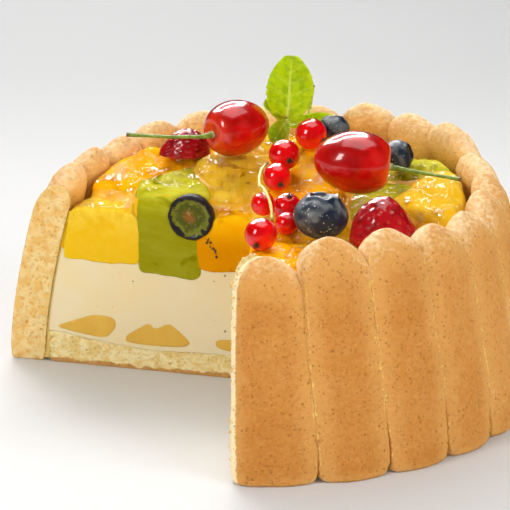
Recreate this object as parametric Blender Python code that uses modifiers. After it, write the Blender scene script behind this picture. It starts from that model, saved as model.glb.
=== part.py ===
"""A fruit charlotte cake with a slice taken out.

A wall of sponge fingers stands round a thin sponge base, a layer of set cream with pear in it,
and a bed of cut fruit that carries cherries, berries and a sprig of mint. A wedge of the cake is
missing, so its layers show. All lengths are in metres and all angles in degrees. An azimuth is
counted round the cake's upright axis from its front, -Y, towards +X.
"""

import math

import bmesh
import bpy
from mathutils import Matrix, Vector

# Clearance, and where the cake's axis stands
GAP = 0.0003
CAKE_AXIS = Vector((-0.0014, 0.0, 0.0))

# The missing slice
SLICE_FROM = -105.1
SLICE_TO = -7.5
SLICE_REACH = 0.12
SLICE_STEPS = 6

# The wall of sponge fingers, with the azimuth and crown height of each
FINGER_FOOT_RADIUS = 0.0742
FINGER_CROWN_RADIUS = 0.0632
FINGER_HALF_THICKNESS = 0.0059
FINGER_LEAN_POWER = 1.6
FINGER_DOME = 0.0088
FINGER_FOOT_ROUNDING = 0.0045
FINGER_FLAT_SIDES = 0.55
FINGER_FLAT_FACES = 0.64
FINGER_SIDES = 14
FINGER_RINGS = 11
FOOT_LEAN = 3.2
FINGERS = (
    (0.3, 0.0597), (15.4, 0.0645), (30.6, 0.0648), (45.6, 0.0629), (59.8, 0.0627), (73.9, 0.0643),
    (88.2, 0.0646), (102.9, 0.0661), (118.6, 0.0712), (134.4, 0.0704), (149.6, 0.0710), (165.1, 0.0685),
    (181.6, 0.0675), (197.4, 0.0669), (210.7, 0.0653), (223.0, 0.0628), (234.2, 0.0619), (244.8, 0.0599),
)
CUT_FINGER = (254.9, 0.0560)

# Sponge base and cream, turned about the axis: points are radius and height
TURN_STEPS = 44
BASE_RADIUS = 0.0671
BASE_EDGE = 0.0009
BASE_TOP = ((0.0, 0.0071), (0.0200, 0.0070), (0.0356, 0.0064), (0.0485, 0.0076), (0.0589, 0.0090), (0.0650, 0.0098))
CREAM_TOP = 0.0342
CREAM_RIM = 0.0342

# Pear in the cream: its outline on the cut face, as radius and height
PEAR_DEPTH = 0.018
PEAR_END_SHARE = 0.72
PEARS = (
    ("pear_1", SLICE_FROM, ((0.0660, 0.0112), (0.0590, 0.0096), (0.0486, 0.0084), (0.0455, 0.0122),
                            (0.0452, 0.0150), (0.0474, 0.0162), (0.0534, 0.0164), (0.0614, 0.0132))),
    ("pear_2", SLICE_FROM, ((0.0440, 0.0080), (0.0440, 0.0102), (0.0406, 0.0123), (0.0358, 0.0156),
                            (0.0336, 0.0133), (0.0286, 0.0162), (0.0258, 0.0138), (0.0214, 0.0098),
                            (0.0240, 0.0079), (0.0356, 0.0074))),
    ("pear_3", SLICE_FROM, ((0.0156, 0.0116), (0.0098, 0.0124), (0.0045, 0.0120), (0.0040, 0.0081),
                            (0.0098, 0.0080), (0.0150, 0.0090))),
    ("pear_4", SLICE_TO, ((0.0540, 0.0098), (0.0530, 0.0140), (0.0460, 0.0166), (0.0390, 0.0138),
                          (0.0350, 0.0096), (0.0420, 0.0084))),
)

# The bed of cut fruit: place, reach, foot, top, and how the top rises to the right and to the back
BED_FOOT_RADIUS = 0.0618
BED_TOP_RADIUS = 0.0565
BED_TOP_HEIGHT = 0.0640
BED_FOOT = 0.0346
BED_SIDES = 36
BED_ROUNDING = ((0.0012, 0.95), (0.0008, 0.82))
FRUIT_BED = (
    ("pineapple_1", -0.0470, 0.0165, 0.0100, BED_FOOT, 0.0487, 0.00, 0.05),
    ("kiwi_1", -0.0262, 0.0178, 0.0110, 0.0322, 0.0560, 0.00, 0.10),
    ("mango_1", -0.0385, 0.0362, 0.0140, BED_FOOT, 0.0572, 0.05, 0.27),
    ("mango_2", -0.0080, 0.0060, 0.0080, BED_FOOT, 0.0492, 0.00, 0.35),
    ("pineapple_2", -0.0070, 0.0220, 0.0130, BED_FOOT, 0.0568, 0.00, 0.33),
    ("mango_3", 0.0075, -0.0340, 0.0115, BED_FOOT, 0.0500, 0.00, 0.15),
    ("mango_4", 0.0130, 0.0060, 0.0110, BED_FOOT, 0.0565, 0.00, 0.35),
    ("mango_5", -0.0230, 0.0480, 0.0120, BED_FOOT, 0.0594, 0.00, 0.10),
    ("mango_6", 0.0095, -0.0140, 0.0105, BED_FOOT, 0.0502, 0.00, 0.15),
    ("pineapple_3", 0.0330, -0.0265, 0.0150, BED_FOOT, 0.0500, 0.00, 0.00),
    ("kiwi_2", 0.0345, 0.0075, 0.0110, BED_FOOT, 0.0548, 0.14, 0.10),
    ("pineapple_4", 0.0510, -0.0030, 0.0115, BED_FOOT, 0.0592, -0.05, 0.15),
    ("kiwi_3", 0.0465, 0.0290, 0.0120, BED_FOOT, 0.0594, 0.32, 0.00),
    ("mango_7", 0.0180, 0.0400, 0.0150, BED_FOOT, 0.0615, 0.00, 0.00),
    ("pineapple_5", -0.0035, 0.0480, 0.0120, BED_FOOT, 0.0600, 0.00, 0.00),
)

# A half blueberry shows its flesh in the cut face, in a hollow of the fruit round it
HALF_BERRY_RADIUS = 0.0069
HALF_BERRY_ALONG = 0.0221
HALF_BERRY_HEIGHT = 0.0492

# Cherries: name, centre, half length, half width, and the way the stem end points
CHERRY_HOLLOW = 0.16
CHERRY_TAPER = 0.12
CHERRIES = (
    ("cherry_1", (-0.0082, 0.0295, 0.0698), 0.0107, 0.0090, (-0.80, -0.58, -0.05)),
    ("cherry_2", (0.0265, 0.0032, 0.0666), 0.0121, 0.0098, (1.0, -0.10, -0.10)),
)
STEM_RADIUS = 0.00055
CHERRY_STEMS = (
    ("cherry_stem_1", ((-0.0153, 0.0240, 0.0693), (-0.0170, 0.0226, 0.0692), (-0.0200, 0.0220, 0.0691),
                       (-0.0270, 0.0222, 0.0690), (-0.0340, 0.0226, 0.0692), (-0.0408, 0.0230, 0.0695))),
    ("cherry_stem_2", ((0.0362, 0.0022, 0.0656), (0.0382, 0.0019, 0.0652), (0.0430, 0.0009, 0.0646),
                       (0.0480, -0.0006, 0.0641), (0.0530, -0.0022, 0.0637), (0.0566, -0.0035, 0.0634))),
)
STEM_FLARE = (2.1, 1.5, 1.0, 0.9, 0.9, 1.2)

# Halved strawberries lying on their cut faces: centre, length, width, height, and where the tip points
STRAWBERRIES = (
    ("strawberry_1", (-0.0238, 0.0352, 0.0602), 0.0158, 0.0120, 0.0078, 190.0),
    ("strawberry_2", (0.0338, -0.0255, 0.0517), 0.0204, 0.0166, 0.0132, -20.0),
)

# Round berries: name, centre, radius, flattening, and the way the crown points
BLUEBERRIES = (
    ("blueberry_1", (0.0159, -0.0215, 0.0580), 0.0078, 0.84, (0.10, 0.10, 1.0)),
    ("blueberry_2", (0.0212, 0.0388, 0.0668), 0.0049, 0.86, (0.0, 0.4, 1.0)),
    ("blueberry_3", (0.0400, 0.0242, 0.0627), 0.0048, 0.90, (0.9, -0.3, 0.4)),
)
CURRANTS = (
    ("currant_1", (0.0142, 0.0312, 0.0674), 0.0048),
    ("currant_2", (0.0060, 0.0142, 0.0658), 0.0046),
    ("currant_3", (0.0038, 0.0052, 0.0616), 0.0042),
    ("currant_4", (-0.0003, -0.0052, 0.0566), 0.0035),
    ("currant_5", (0.0066, -0.0092, 0.0568), 0.0042),
    ("currant_6", (0.0063, -0.0172, 0.0544), 0.0033),
    ("currant_7", (-0.0010, -0.0305, 0.0555), 0.0046),
)
CURRANT_STALK_RADIUS = 0.00045
CURRANT_STALK = (
    (0.0010, 0.0115, 0.0640), (-0.0006, 0.0075, 0.0634), (-0.0014, 0.0030, 0.0620), (-0.0012, -0.0020, 0.0610),
    (-0.0004, -0.0080, 0.0624), (0.0012, -0.0130, 0.0608), (0.0020, -0.0165, 0.0585), (0.0022, -0.0200, 0.0562),
)

# The sprig of mint and a bare stalk beside it
MINT_FOOT = (0.0073, 0.0432, 0.0619)
MINT_TOP = (0.0070, 0.0430, 0.0690)
MINT_STEM_RADIUS = 0.0006
LEAF_THICKNESS = 0.0005
LEAF_SERRATION = 0.07
LEAF_WAVE = 0.0007
LEAF_BLUNT = 0.62
MINT_LEAVES = (
    ((0.0071, 0.0430, 0.0684), (0.0086, 0.0446, 0.0884), 0.0150, (0.10, -1.0, 0.30), 10),
    ((0.0068, 0.0431, 0.0684), (0.0004, 0.0465, 0.0738), 0.0050, (0.20, -1.0, 0.90), 5),
    ((0.0070, 0.0428, 0.0680), (0.0024, 0.0396, 0.0626), 0.0066, (-0.30, -1.0, 0.40), 5),
    ((0.0075, 0.0436, 0.0668), (0.0212, 0.0462, 0.0690), 0.0044, (0.10, -1.0, 0.30), 5),
)
STALK_RADIUS = 0.0005
STALK = ((0.0132, 0.0478, 0.0619), (0.0136, 0.0478, 0.0670), (0.0144, 0.0480, 0.0722), (0.0153, 0.0482, 0.0782))


def around(azimuth, radius, height):
    """The point at an azimuth, a distance from the axis and a height."""
    angle = math.radians(azimuth)
    return Vector((radius * math.sin(angle), -radius * math.cos(angle), height))


def signed_power(value, power):
    """The value raised to a power, with its sign kept."""
    return math.copysign(abs(value) ** power, value)


def clear_scene():
    """Removes what the scene holds."""
    for item in list(bpy.data.objects):
        bpy.data.objects.remove(item, do_unlink=True)


def new_collection(name):
    """A collection linked to the scene."""
    group = bpy.data.collections.new(name)
    bpy.context.scene.collection.children.link(group)
    return group


def finish(name, colour, roughness, metallic=0.0):
    """A plain material with a piece's own colour."""
    material = bpy.data.materials.new(name)
    material.use_nodes = True
    shader = material.node_tree.nodes["Principled BSDF"]
    shader.inputs["Base Color"].default_value = (*colour, 1.0)
    shader.inputs["Roughness"].default_value = roughness
    shader.inputs["Metallic"].default_value = metallic
    material.diffuse_color = (*colour, 1.0)
    return material


class Builder:
    """Holds the collections, the cake's axis and the materials, and adds pieces to them."""

    def __init__(self):
        self.pieces = new_collection("charlotte_cake")
        self.cutters = new_collection("cutters")
        self.axis = bpy.data.objects.new("cake_axis", None)
        self.axis.location = CAKE_AXIS
        self.pieces.objects.link(self.axis)
        self.colours = {
            "finger": ((0.80, 0.48, 0.20), 0.85),
            "sponge": ((0.82, 0.66, 0.30), 0.90),
            "cream": ((0.85, 0.75, 0.52), 0.55),
            "pear": ((0.72, 0.50, 0.20), 0.35),
            "mango": ((0.95, 0.45, 0.02), 0.25),
            "pineapple": ((0.90, 0.65, 0.08), 0.25),
            "kiwi": ((0.52, 0.58, 0.12), 0.25),
            "cherry": ((0.65, 0.01, 0.01), 0.15),
            "stem": ((0.25, 0.30, 0.04), 0.50),
            "strawberry": ((0.45, 0.01, 0.01), 0.25),
            "blueberry": ((0.07, 0.09, 0.14), 0.55),
            "currant": ((0.75, 0.01, 0.01), 0.12),
            "mint": ((0.35, 0.55, 0.02), 0.45),
        }

    def place(self, piece, name, kind):
        """Names a piece, gives it a material of its own and hangs it on the axis."""
        piece.name = name
        colour, roughness = self.colours[kind]
        piece.data.materials.clear()
        piece.data.materials.append(finish(name + "_finish", colour, roughness))
        piece.parent = self.axis
        self.pieces.objects.link(piece)
        return piece

    def add(self, name, shape, kind):
        """Adds a shape as a piece of the cake."""
        return self.place(self.object_from(name, shape), name, kind)

    def add_cutter(self, name, shape):
        """Adds a shape that only cuts."""
        cutter = self.object_from(name, shape)
        cutter.parent = self.axis
        cutter.hide_render = True
        cutter.display_type = "WIRE"
        self.cutters.objects.link(cutter)
        return cutter

    @staticmethod
    def object_from(name, shape):
        """An object whose mesh is the shape, with its faces turned out and shaded smooth."""
        bmesh.ops.recalc_face_normals(shape, faces=shape.faces[:])
        if shape.calc_volume(signed=True) < 0:
            bmesh.ops.reverse_faces(shape, faces=shape.faces[:])
        mesh = bpy.data.meshes.new(name)
        shape.to_mesh(mesh)
        shape.free()
        mesh.shade_smooth()
        mesh.set_sharp_from_angle(angle=math.radians(50.0))
        return bpy.data.objects.new(name, mesh)


def cut(piece, cutter, solver="EXACT"):
    """Takes a cutter's shape out of a piece."""
    modifier = piece.modifiers.new("cut_by_" + cutter.name, "BOOLEAN")
    modifier.operation = "DIFFERENCE"
    modifier.solver = solver
    modifier.object = cutter
    return modifier


def prism(outline, direction, end_share=1.0):
    """A closed solid from an outline of points and the way it runs, its far end drawn in by a share."""
    shape = bmesh.new()
    face = shape.faces.new([shape.verts.new(point) for point in outline])
    middle = face.calc_center_median()
    made = bmesh.ops.extrude_face_region(shape, geom=[face], use_keep_orig=True)
    far = [item for item in made["geom"] if isinstance(item, bmesh.types.BMVert)]
    for vertex in far:
        vertex.co = middle + (vertex.co - middle) * end_share + direction
    return shape


def grown(shape, by):
    """The shape with each point moved outwards."""
    bmesh.ops.recalc_face_normals(shape, faces=shape.faces[:])
    shape.normal_update()
    moves = [(vertex, vertex.normal.copy() * vertex.calc_shell_factor() * by) for vertex in shape.verts]
    for vertex, move in moves:
        vertex.co += move
    return shape


def slice_shape():
    """The wedge of cake that is missing."""
    outline = [Vector((0.0, 0.0, -0.02))]
    for step in range(SLICE_STEPS + 1):
        azimuth = SLICE_FROM + (SLICE_TO - SLICE_FROM) * step / SLICE_STEPS
        outline.append(around(azimuth, SLICE_REACH, -0.02))
    return prism(outline, Vector((0.0, 0.0, 0.14)))


def into_cake(azimuth):
    """The level direction from one of the two cut faces into the cake that is left."""
    along = around(azimuth, 1.0, 0.0)
    side = Vector((-along.y, along.x, 0.0))
    return side if azimuth == SLICE_TO else -side


def foot_lean(azimuth):
    """How far the foot of the wall leans on from its crown, in degrees: only the front fingers do."""
    return FOOT_LEAN * max(0.0, math.cos(math.radians(azimuth)))


def finger_middle(height, crown):
    """The distance from the axis of a finger's middle at a height."""
    lean = (height / crown) ** FINGER_LEAN_POWER
    return FINGER_FOOT_RADIUS - (FINGER_FOOT_RADIUS - FINGER_CROWN_RADIUS) * lean


def finger_station(ring, crown):
    """The height of a ring of a finger's points, and its share of the full section."""
    wall_top = crown - FINGER_DOME
    wall = wall_top - FINGER_FOOT_ROUNDING
    stations = [(0.0, 0.0), (0.0, 0.74), (0.3 * FINGER_FOOT_ROUNDING, 0.90), (FINGER_FOOT_ROUNDING, 1.0)]
    stations += [(FINGER_FOOT_ROUNDING + wall * share, 1.0) for share in (0.27, 0.58, 0.86)]
    for angle in (14.0, 38.0, 60.0, 78.0):
        turn = math.radians(angle)
        stations.append((wall_top + FINGER_DOME * math.sin(turn), math.cos(turn)))
    stations.append((crown, 0.0))
    return stations[ring]


def finger_shape(centre, crown, border_before, border_after):
    """A sponge finger: a sphere drawn up into a leaning rounded column between its two borders."""
    shape = bmesh.new()
    bmesh.ops.create_uvsphere(shape, u_segments=FINGER_SIDES, v_segments=FINGER_RINGS, radius=1.0)
    for vertex in shape.verts:
        polar = math.acos(max(-1.0, min(1.0, -vertex.co.z)))
        ring = round(polar / math.pi * FINGER_RINGS)
        height, share = finger_station(ring, crown)
        turn = math.atan2(vertex.co.y, vertex.co.x)
        across = signed_power(math.cos(turn), FINGER_FLAT_SIDES) * share
        outwards = signed_power(math.sin(turn), FINGER_FLAT_FACES) * share
        radius = finger_middle(height, crown) + FINGER_HALF_THICKNESS * outwards
        border = border_after if across > 0 else border_before
        clearance = math.degrees(0.6 * GAP / radius)
        reach = abs(border - centre) - clearance
        shift = foot_lean(centre + across * reach) * (1.0 - height / crown)
        vertex.co = around(centre + across * reach + shift, radius, height)
    return shape


def add_wall(build, slice_cutter):
    """Adds the ring of sponge fingers, the last one cut through."""
    rows = FINGERS + (CUT_FINGER,)
    for index, (centre, crown) in enumerate(rows):
        before = rows[index - 1][0] if index else SLICE_TO * 2 - centre
        after = rows[index + 1][0] if index + 1 < len(rows) else 2 * centre - before + 1.0
        shape = finger_shape(centre, crown, (before + centre) / 2, (after + centre) / 2)
        if index < len(FINGERS):
            build.add("finger_%02d" % (index + 1), shape, "finger")
        else:
            cut(build.add("finger_cut", shape, "finger"), slice_cutter)


def wall_inside(height):
    """The radius that clears the fingers' inner faces at a height, less the gap."""
    return finger_middle(height, CUT_FINGER[1]) - FINGER_HALF_THICKNESS - GAP


def turned(build, name, profile, kind):
    """A piece turned about the cake's axis from a profile that runs from the top to the bottom."""
    mesh = bpy.data.meshes.new(name)
    points = [(radius, 0.0, height) for radius, height in profile]
    mesh.from_pydata(points, [(i, i + 1) for i in range(len(points) - 1)], [])
    piece = build.place(bpy.data.objects.new(name, mesh), name, kind)
    screw = piece.modifiers.new("turn", "SCREW")
    screw.steps = TURN_STEPS
    screw.render_steps = TURN_STEPS
    screw.use_merge_vertices = True
    screw.merge_threshold = 0.0001
    screw.use_smooth_shade = False
    return piece


def add_base(build, slice_cutter):
    """Adds the thin sponge that the cream stands on."""
    edge_top = BASE_TOP[-1][1]
    profile = list(BASE_TOP)
    profile += [(BASE_RADIUS, edge_top - BASE_EDGE), (BASE_RADIUS, BASE_EDGE), (BASE_RADIUS - BASE_EDGE, 0.0)]
    profile += [(BASE_RADIUS / 2, 0.0), (0.0, 0.0)]
    cut(turned(build, "sponge_base", profile, "sponge"), slice_cutter)


def pear_shape(azimuth, outline, start, depth, end_share):
    """A piece of pear from its outline on a cut face, running into the cake."""
    inwards = into_cake(azimuth)
    points = [around(azimuth, radius, height) + inwards * start for radius, height in outline]
    return prism(points, inwards * depth, end_share)


def add_cream(build, slice_cutter, pockets):
    """Adds the layer of cream, hollowed for the pear and for the one piece of fruit that sinks into it."""
    profile = [(0.0, CREAM_TOP), (0.03, CREAM_TOP), (0.05, CREAM_TOP), (wall_inside(CREAM_RIM), CREAM_RIM)]
    profile += [(wall_inside(height), height) for height in (0.027, 0.019)]
    profile.append((BASE_RADIUS, BASE_TOP[-1][1] + 2.2 * GAP))
    profile += [(radius, height + 1.2 * GAP) for radius, height in reversed(BASE_TOP)]
    cream = turned(build, "cream", profile, "cream")
    cut(cream, slice_cutter)
    for pocket in pockets:
        cut(cream, pocket)


def add_pears(build):
    """Adds the pieces of pear and returns the cutters that make room for them."""
    pockets = []
    for name, azimuth, outline in PEARS:
        build.add(name, pear_shape(azimuth, outline, 0.0, PEAR_DEPTH, PEAR_END_SHARE), "pear")
        pocket = grown(pear_shape(azimuth, outline, -0.002, PEAR_DEPTH + 0.002, PEAR_END_SHARE), 2.2 * GAP)
        pockets.append(build.add_cutter(name + "_pocket", pocket))
    return pockets


def trim(shape, point, normal):
    """Cuts away what lies past a plane and closes the shape again."""
    geometry = shape.verts[:] + shape.edges[:] + shape.faces[:]
    bmesh.ops.bisect_plane(shape, geom=geometry, plane_co=point, plane_no=normal, clear_outer=True)
    open_edges = [edge for edge in shape.edges if edge.is_boundary]
    if open_edges:
        bmesh.ops.holes_fill(shape, edges=open_edges, sides=0)


def fruit_shape(index):
    """A piece of the fruit bed: what lies nearer to it than to the others, with a rounded top."""
    _, x, y, reach, foot, top, rise_right, rise_back = FRUIT_BED[index]
    here = Vector((x, y, 0.0))
    shape = bmesh.new()
    depth = BED_TOP_HEIGHT - foot
    lower = BED_FOOT_RADIUS + (BED_FOOT_RADIUS - BED_TOP_RADIUS) * (BED_FOOT - foot) / (BED_TOP_HEIGHT - BED_FOOT)
    place = Matrix.Translation((0.0, 0.0, foot + depth / 2))
    bmesh.ops.create_cone(shape, cap_ends=True, segments=BED_SIDES, radius1=lower, radius2=BED_TOP_RADIUS,
                          depth=depth, matrix=place)
    face_azimuth = max((SLICE_FROM, SLICE_TO), key=lambda azimuth: into_cake(azimuth).dot(here))
    trim(shape, Vector((0.0, 0.0, 0.0)), -into_cake(face_azimuth))
    for other, row in enumerate(FRUIT_BED):
        if other == index:
            continue
        across = Vector((row[1], row[2], 0.0)) - here
        distance = across.length
        share = (distance ** 2 + reach ** 2 - row[3] ** 2) / (2 * distance) - 0.6 * GAP
        trim(shape, here + across.normalized() * share, across.normalized())
    rounding = sum(step for step, _ in BED_ROUNDING)
    slope = Vector((-rise_right, -rise_back, 1.0)).normalized()
    trim(shape, Vector((x, y, top - rounding)), slope)
    roof = max(shape.faces, key=lambda face: face.normal.dot(slope) * face.calc_area())
    for step, share in BED_ROUNDING:
        middle = roof.calc_center_median()
        made = bmesh.ops.extrude_face_region(shape, geom=[roof])
        bmesh.ops.delete(shape, geom=[roof], context="FACES_ONLY")
        roof = next(item for item in made["geom"] if isinstance(item, bmesh.types.BMFace))
        for vertex in roof.verts:
            vertex.co = middle + (vertex.co - middle) * share + slope * step
    return shape


def half_berry_shape(radius, start):
    """The back half of a round berry whose flat face lies in the first cut face."""
    shape = bmesh.new()
    inwards = into_cake(SLICE_FROM)
    centre = around(SLICE_FROM, HALF_BERRY_ALONG, HALF_BERRY_HEIGHT)
    turn = inwards.to_track_quat("Z", "Y").to_matrix().to_4x4()
    place = Matrix.Translation(centre) @ turn
    bmesh.ops.create_uvsphere(shape, u_segments=16, v_segments=12, radius=radius, matrix=place)
    trim(shape, centre + inwards * start, -inwards)
    return shape


def add_fruit_bed(build):
    """Adds the cut fruit and the half berry, and returns the cutter for the piece that sinks in."""
    hollow = build.add_cutter("half_berry_hollow", half_berry_shape(HALF_BERRY_RADIUS + GAP, -0.0060))
    for index, row in enumerate(FRUIT_BED):
        piece = build.add(row[0], fruit_shape(index), row[0].split("_")[0])
        if row[0] in ("kiwi_1", "mango_2", "pineapple_2"):
            cut(piece, hollow)
    build.add("blueberry_half", half_berry_shape(HALF_BERRY_RADIUS, 0.0), "blueberry")
    sunk = next(index for index, row in enumerate(FRUIT_BED) if row[0] == "kiwi_1")
    return build.add_cutter("kiwi_1_pocket", grown(fruit_shape(sunk), 1.2 * GAP))


def round_fruit(radius, sides, rings, centre, pole, reshape):
    """A sphere whose points are moved by a function of the angle from its pole, turned to face a way."""
    shape = bmesh.new()
    bmesh.ops.create_uvsphere(shape, u_segments=sides, v_segments=rings, radius=1.0)
    turn = Vector(pole).to_track_quat("Z", "Y").to_matrix()
    for vertex in shape.verts:
        angle = math.acos(max(-1.0, min(1.0, vertex.co.z)))
        vertex.co = turn @ (reshape(vertex.co, angle) * radius) + Vector(centre)
    return shape


def add_cherries(build):
    """Adds the two cherries with their stems."""
    for name, centre, length, width, pole in CHERRIES:
        def heart(point, angle):
            hollow = CHERRY_HOLLOW * math.exp(-(angle / 0.42) ** 2)
            narrow = 1.0 - CHERRY_TAPER * (0.5 - 0.5 * point.z)
            return Vector((point.x * narrow * width, point.y * narrow * width, (point.z - hollow * 1.6) * length))

        build.add(name, round_fruit(1.0, 18, 12, centre, pole, heart), "cherry")
    for name, points in CHERRY_STEMS:
        build.place(tube(name, points, STEM_RADIUS, STEM_FLARE), name, "stem")


def tube(name, points, radius, shares=None):
    """A round stalk along the points, its thickness scaled by the shares."""
    curve = bpy.data.curves.new(name, "CURVE")
    curve.dimensions = "3D"
    curve.bevel_depth = radius
    curve.bevel_resolution = 2
    curve.use_fill_caps = True
    spline = curve.splines.new("POLY")
    spline.points.add(len(points) - 1)
    for index, point in enumerate(points):
        spline.points[index].co = (*point, 1.0)
        spline.points[index].radius = shares[index] if shares else 1.0
    return bpy.data.objects.new(name, curve)


def add_strawberries(build):
    """Adds the two halved strawberries, each lying on its cut face."""
    for name, centre, length, width, height, tip in STRAWBERRIES:
        def half(point, angle):
            narrow = 1.0 - 0.42 * max(0.0, point.x) ** 1.5
            lift = 1.0 if point.z > 0 else 0.10
            return Vector((point.x * length / 2, point.y * narrow * width / 2, point.z * narrow * lift * height))

        shape = round_fruit(1.0, 16, 12, (0.0, 0.0, 0.0), (0.0, 0.0, 1.0), half)
        place = Matrix.Translation(centre) @ Matrix.Rotation(math.radians(tip), 4, "Z")
        bmesh.ops.transform(shape, matrix=place, verts=shape.verts[:])
        build.add(name, shape, "strawberry")


def add_berries(build):
    """Adds the blueberries with their crowns, the currants and the currants' stalk."""
    for name, centre, radius, flat, pole in BLUEBERRIES:
        def crowned(point, angle):
            degrees = math.degrees(angle)
            lift = -0.16 if degrees < 24.0 else (0.05 if degrees < 40.0 else 0.0)
            return Vector((point.x, point.y, point.z * flat + lift))

        build.add(name, round_fruit(radius, 14, 11, centre, pole, crowned), "blueberry")
    for name, centre, radius in CURRANTS:
        berry = round_fruit(radius, 12, 9, centre, (0.0, 0.0, 1.0), lambda point, angle: point.copy())
        build.add(name, berry, "currant")
    build.place(tube("currant_stalk", CURRANT_STALK, CURRANT_STALK_RADIUS), "currant_stalk", "stem")


def leaf_shape(base, tip, width, facing, rows):
    """A thin wavy leaf with a toothed edge, from its base to its tip, its upper side facing a way."""
    shape = bmesh.new()
    columns = 4
    bmesh.ops.create_grid(shape, x_segments=columns, y_segments=rows, size=0.5)
    along = Vector(tip) - Vector(base)
    length = along.length
    right = along.cross(Vector(facing)).normalized()
    turn = Matrix((right, along.normalized(), right.cross(along).normalized())).transposed()
    for vertex in shape.verts:
        share = vertex.co.y + 0.5
        side = vertex.co.x * 2.0
        row = round(share * rows)
        outline = math.sin(math.pi * min(1.0, 0.05 + 0.93 * share) ** 0.95) ** LEAF_BLUNT
        teeth = 1.0 - LEAF_SERRATION * (row % 2)
        across = side * width / 2 * outline * (teeth if abs(side) > 0.9 else 1.0)
        fold = 0.22 * abs(across) + LEAF_WAVE * math.sin(7.0 * share + 2.0 * side)
        vertex.co = turn @ Vector((across, share * length, fold)) + Vector(base)
    bmesh.ops.triangulate(shape, faces=shape.faces[:])
    shape.normal_update()
    back = bmesh.ops.duplicate(shape, geom=shape.verts[:] + shape.edges[:] + shape.faces[:])
    copies = [item for item in back["geom"] if isinstance(item, bmesh.types.BMVert)]
    faces = [item for item in back["geom"] if isinstance(item, bmesh.types.BMFace)]
    moves = [(vertex, vertex.normal * LEAF_THICKNESS) for vertex in copies]
    for vertex, move in moves:
        vertex.co -= move
    bmesh.ops.reverse_faces(shape, faces=faces)
    rims = [edge for edge in shape.edges if edge.is_boundary]
    bmesh.ops.bridge_loops(shape, edges=rims)
    bmesh.ops.triangulate(shape, faces=[face for face in shape.faces if len(face.verts) > 3])
    return shape


def solid_tube(build, name, points, radius):
    """A stalk as a closed mesh, so that it can be joined to other pieces."""
    stalk = tube(name, points, radius)
    bpy.context.scene.collection.objects.link(stalk)
    bpy.context.view_layer.update()
    graph = bpy.context.evaluated_depsgraph_get()
    mesh = bpy.data.meshes.new_from_object(stalk.evaluated_get(graph))
    shape = bmesh.new()
    shape.from_mesh(mesh)
    bmesh.ops.remove_doubles(shape, verts=shape.verts[:], dist=0.00001)
    bpy.data.objects.remove(stalk)
    bpy.data.meshes.remove(mesh)
    return shape


def add_mint(build):
    """Adds the sprig of mint, its leaves joined to its stem, and the bare stalk."""
    sprig = build.add("mint_sprig", solid_tube(build, "mint_stem", (MINT_FOOT, MINT_TOP), MINT_STEM_RADIUS), "mint")
    for index, (base, tip, width, facing, rows) in enumerate(MINT_LEAVES):
        leaf = build.add_cutter("mint_leaf_%d" % (index + 1), leaf_shape(base, tip, width, facing, rows))
        join = sprig.modifiers.new("join_leaf_%d" % (index + 1), "BOOLEAN")
        join.operation = "UNION"
        join.solver = "EXACT"
        join.object = leaf
    build.place(tube("bare_stalk", STALK, STALK_RADIUS), "bare_stalk", "stem")


def main():
    """Builds the whole cake."""
    clear_scene()
    build = Builder()
    slice_cutter = build.add_cutter("missing_slice", slice_shape())
    add_wall(build, slice_cutter)
    add_base(build, slice_cutter)
    pockets = add_pears(build)
    pockets.append(add_fruit_bed(build))
    add_cream(build, slice_cutter, pockets)
    add_cherries(build)
    add_strawberries(build)
    add_berries(build)
    add_mint(build)


main()
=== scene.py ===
"""The looks of a fruit charlotte cake with a slice taken out.

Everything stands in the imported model's frame, in metres with +Z up. A piece that replaces a solid
repeats that solid's form from the same sizes and adds the fine surface. Points are worked out about the
cake's own upright axis. An azimuth is in degrees round that axis, from the front, -Y, towards +X.
"""

import sys
import functools
import itertools
import logging
import math
from dataclasses import dataclass, field
from enum import Enum
from typing import Callable

import bmesh
import bpy
import numpy as np
from mathutils import Matrix, Vector
from mathutils.bvhtree import BVHTree


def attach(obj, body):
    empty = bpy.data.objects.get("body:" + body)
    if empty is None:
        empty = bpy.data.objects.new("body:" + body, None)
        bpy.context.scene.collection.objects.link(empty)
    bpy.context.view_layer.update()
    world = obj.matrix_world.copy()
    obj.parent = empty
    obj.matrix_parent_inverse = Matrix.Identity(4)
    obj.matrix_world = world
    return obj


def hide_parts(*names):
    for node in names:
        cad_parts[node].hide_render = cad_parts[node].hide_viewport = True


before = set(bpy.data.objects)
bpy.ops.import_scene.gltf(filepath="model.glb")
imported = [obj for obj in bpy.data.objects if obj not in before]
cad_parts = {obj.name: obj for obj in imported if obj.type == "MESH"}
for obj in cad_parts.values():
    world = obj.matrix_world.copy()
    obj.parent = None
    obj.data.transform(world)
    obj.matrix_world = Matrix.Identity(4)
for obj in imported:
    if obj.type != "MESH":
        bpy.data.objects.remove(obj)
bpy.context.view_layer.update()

LOG = logging.getLogger("charlotte")

Colour = tuple[float, float, float]
Point = tuple[float, float, float]
Socket = bpy.types.NodeSocket

MM = 0.001
CAKE_AXIS = np.array((-0.0014, 0.0, 0.0))
SLICE_FROM = -105.1
SLICE_TO = -7.5


def around(azimuth: np.ndarray | float, radius: np.ndarray | float, height: np.ndarray | float) -> np.ndarray:
    """Points at azimuths, distances from the axis and heights.

    Args:
        azimuth: Degrees from the front towards +X.
        radius: Distances from the axis.
        height: Heights above the floor.

    Returns:
        An array whose last side holds x, y and z.
    """
    angle = np.radians(azimuth)
    parts = np.broadcast_arrays(radius * np.sin(angle), -radius * np.cos(angle), height)
    return np.stack(parts, axis=-1)


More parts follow.
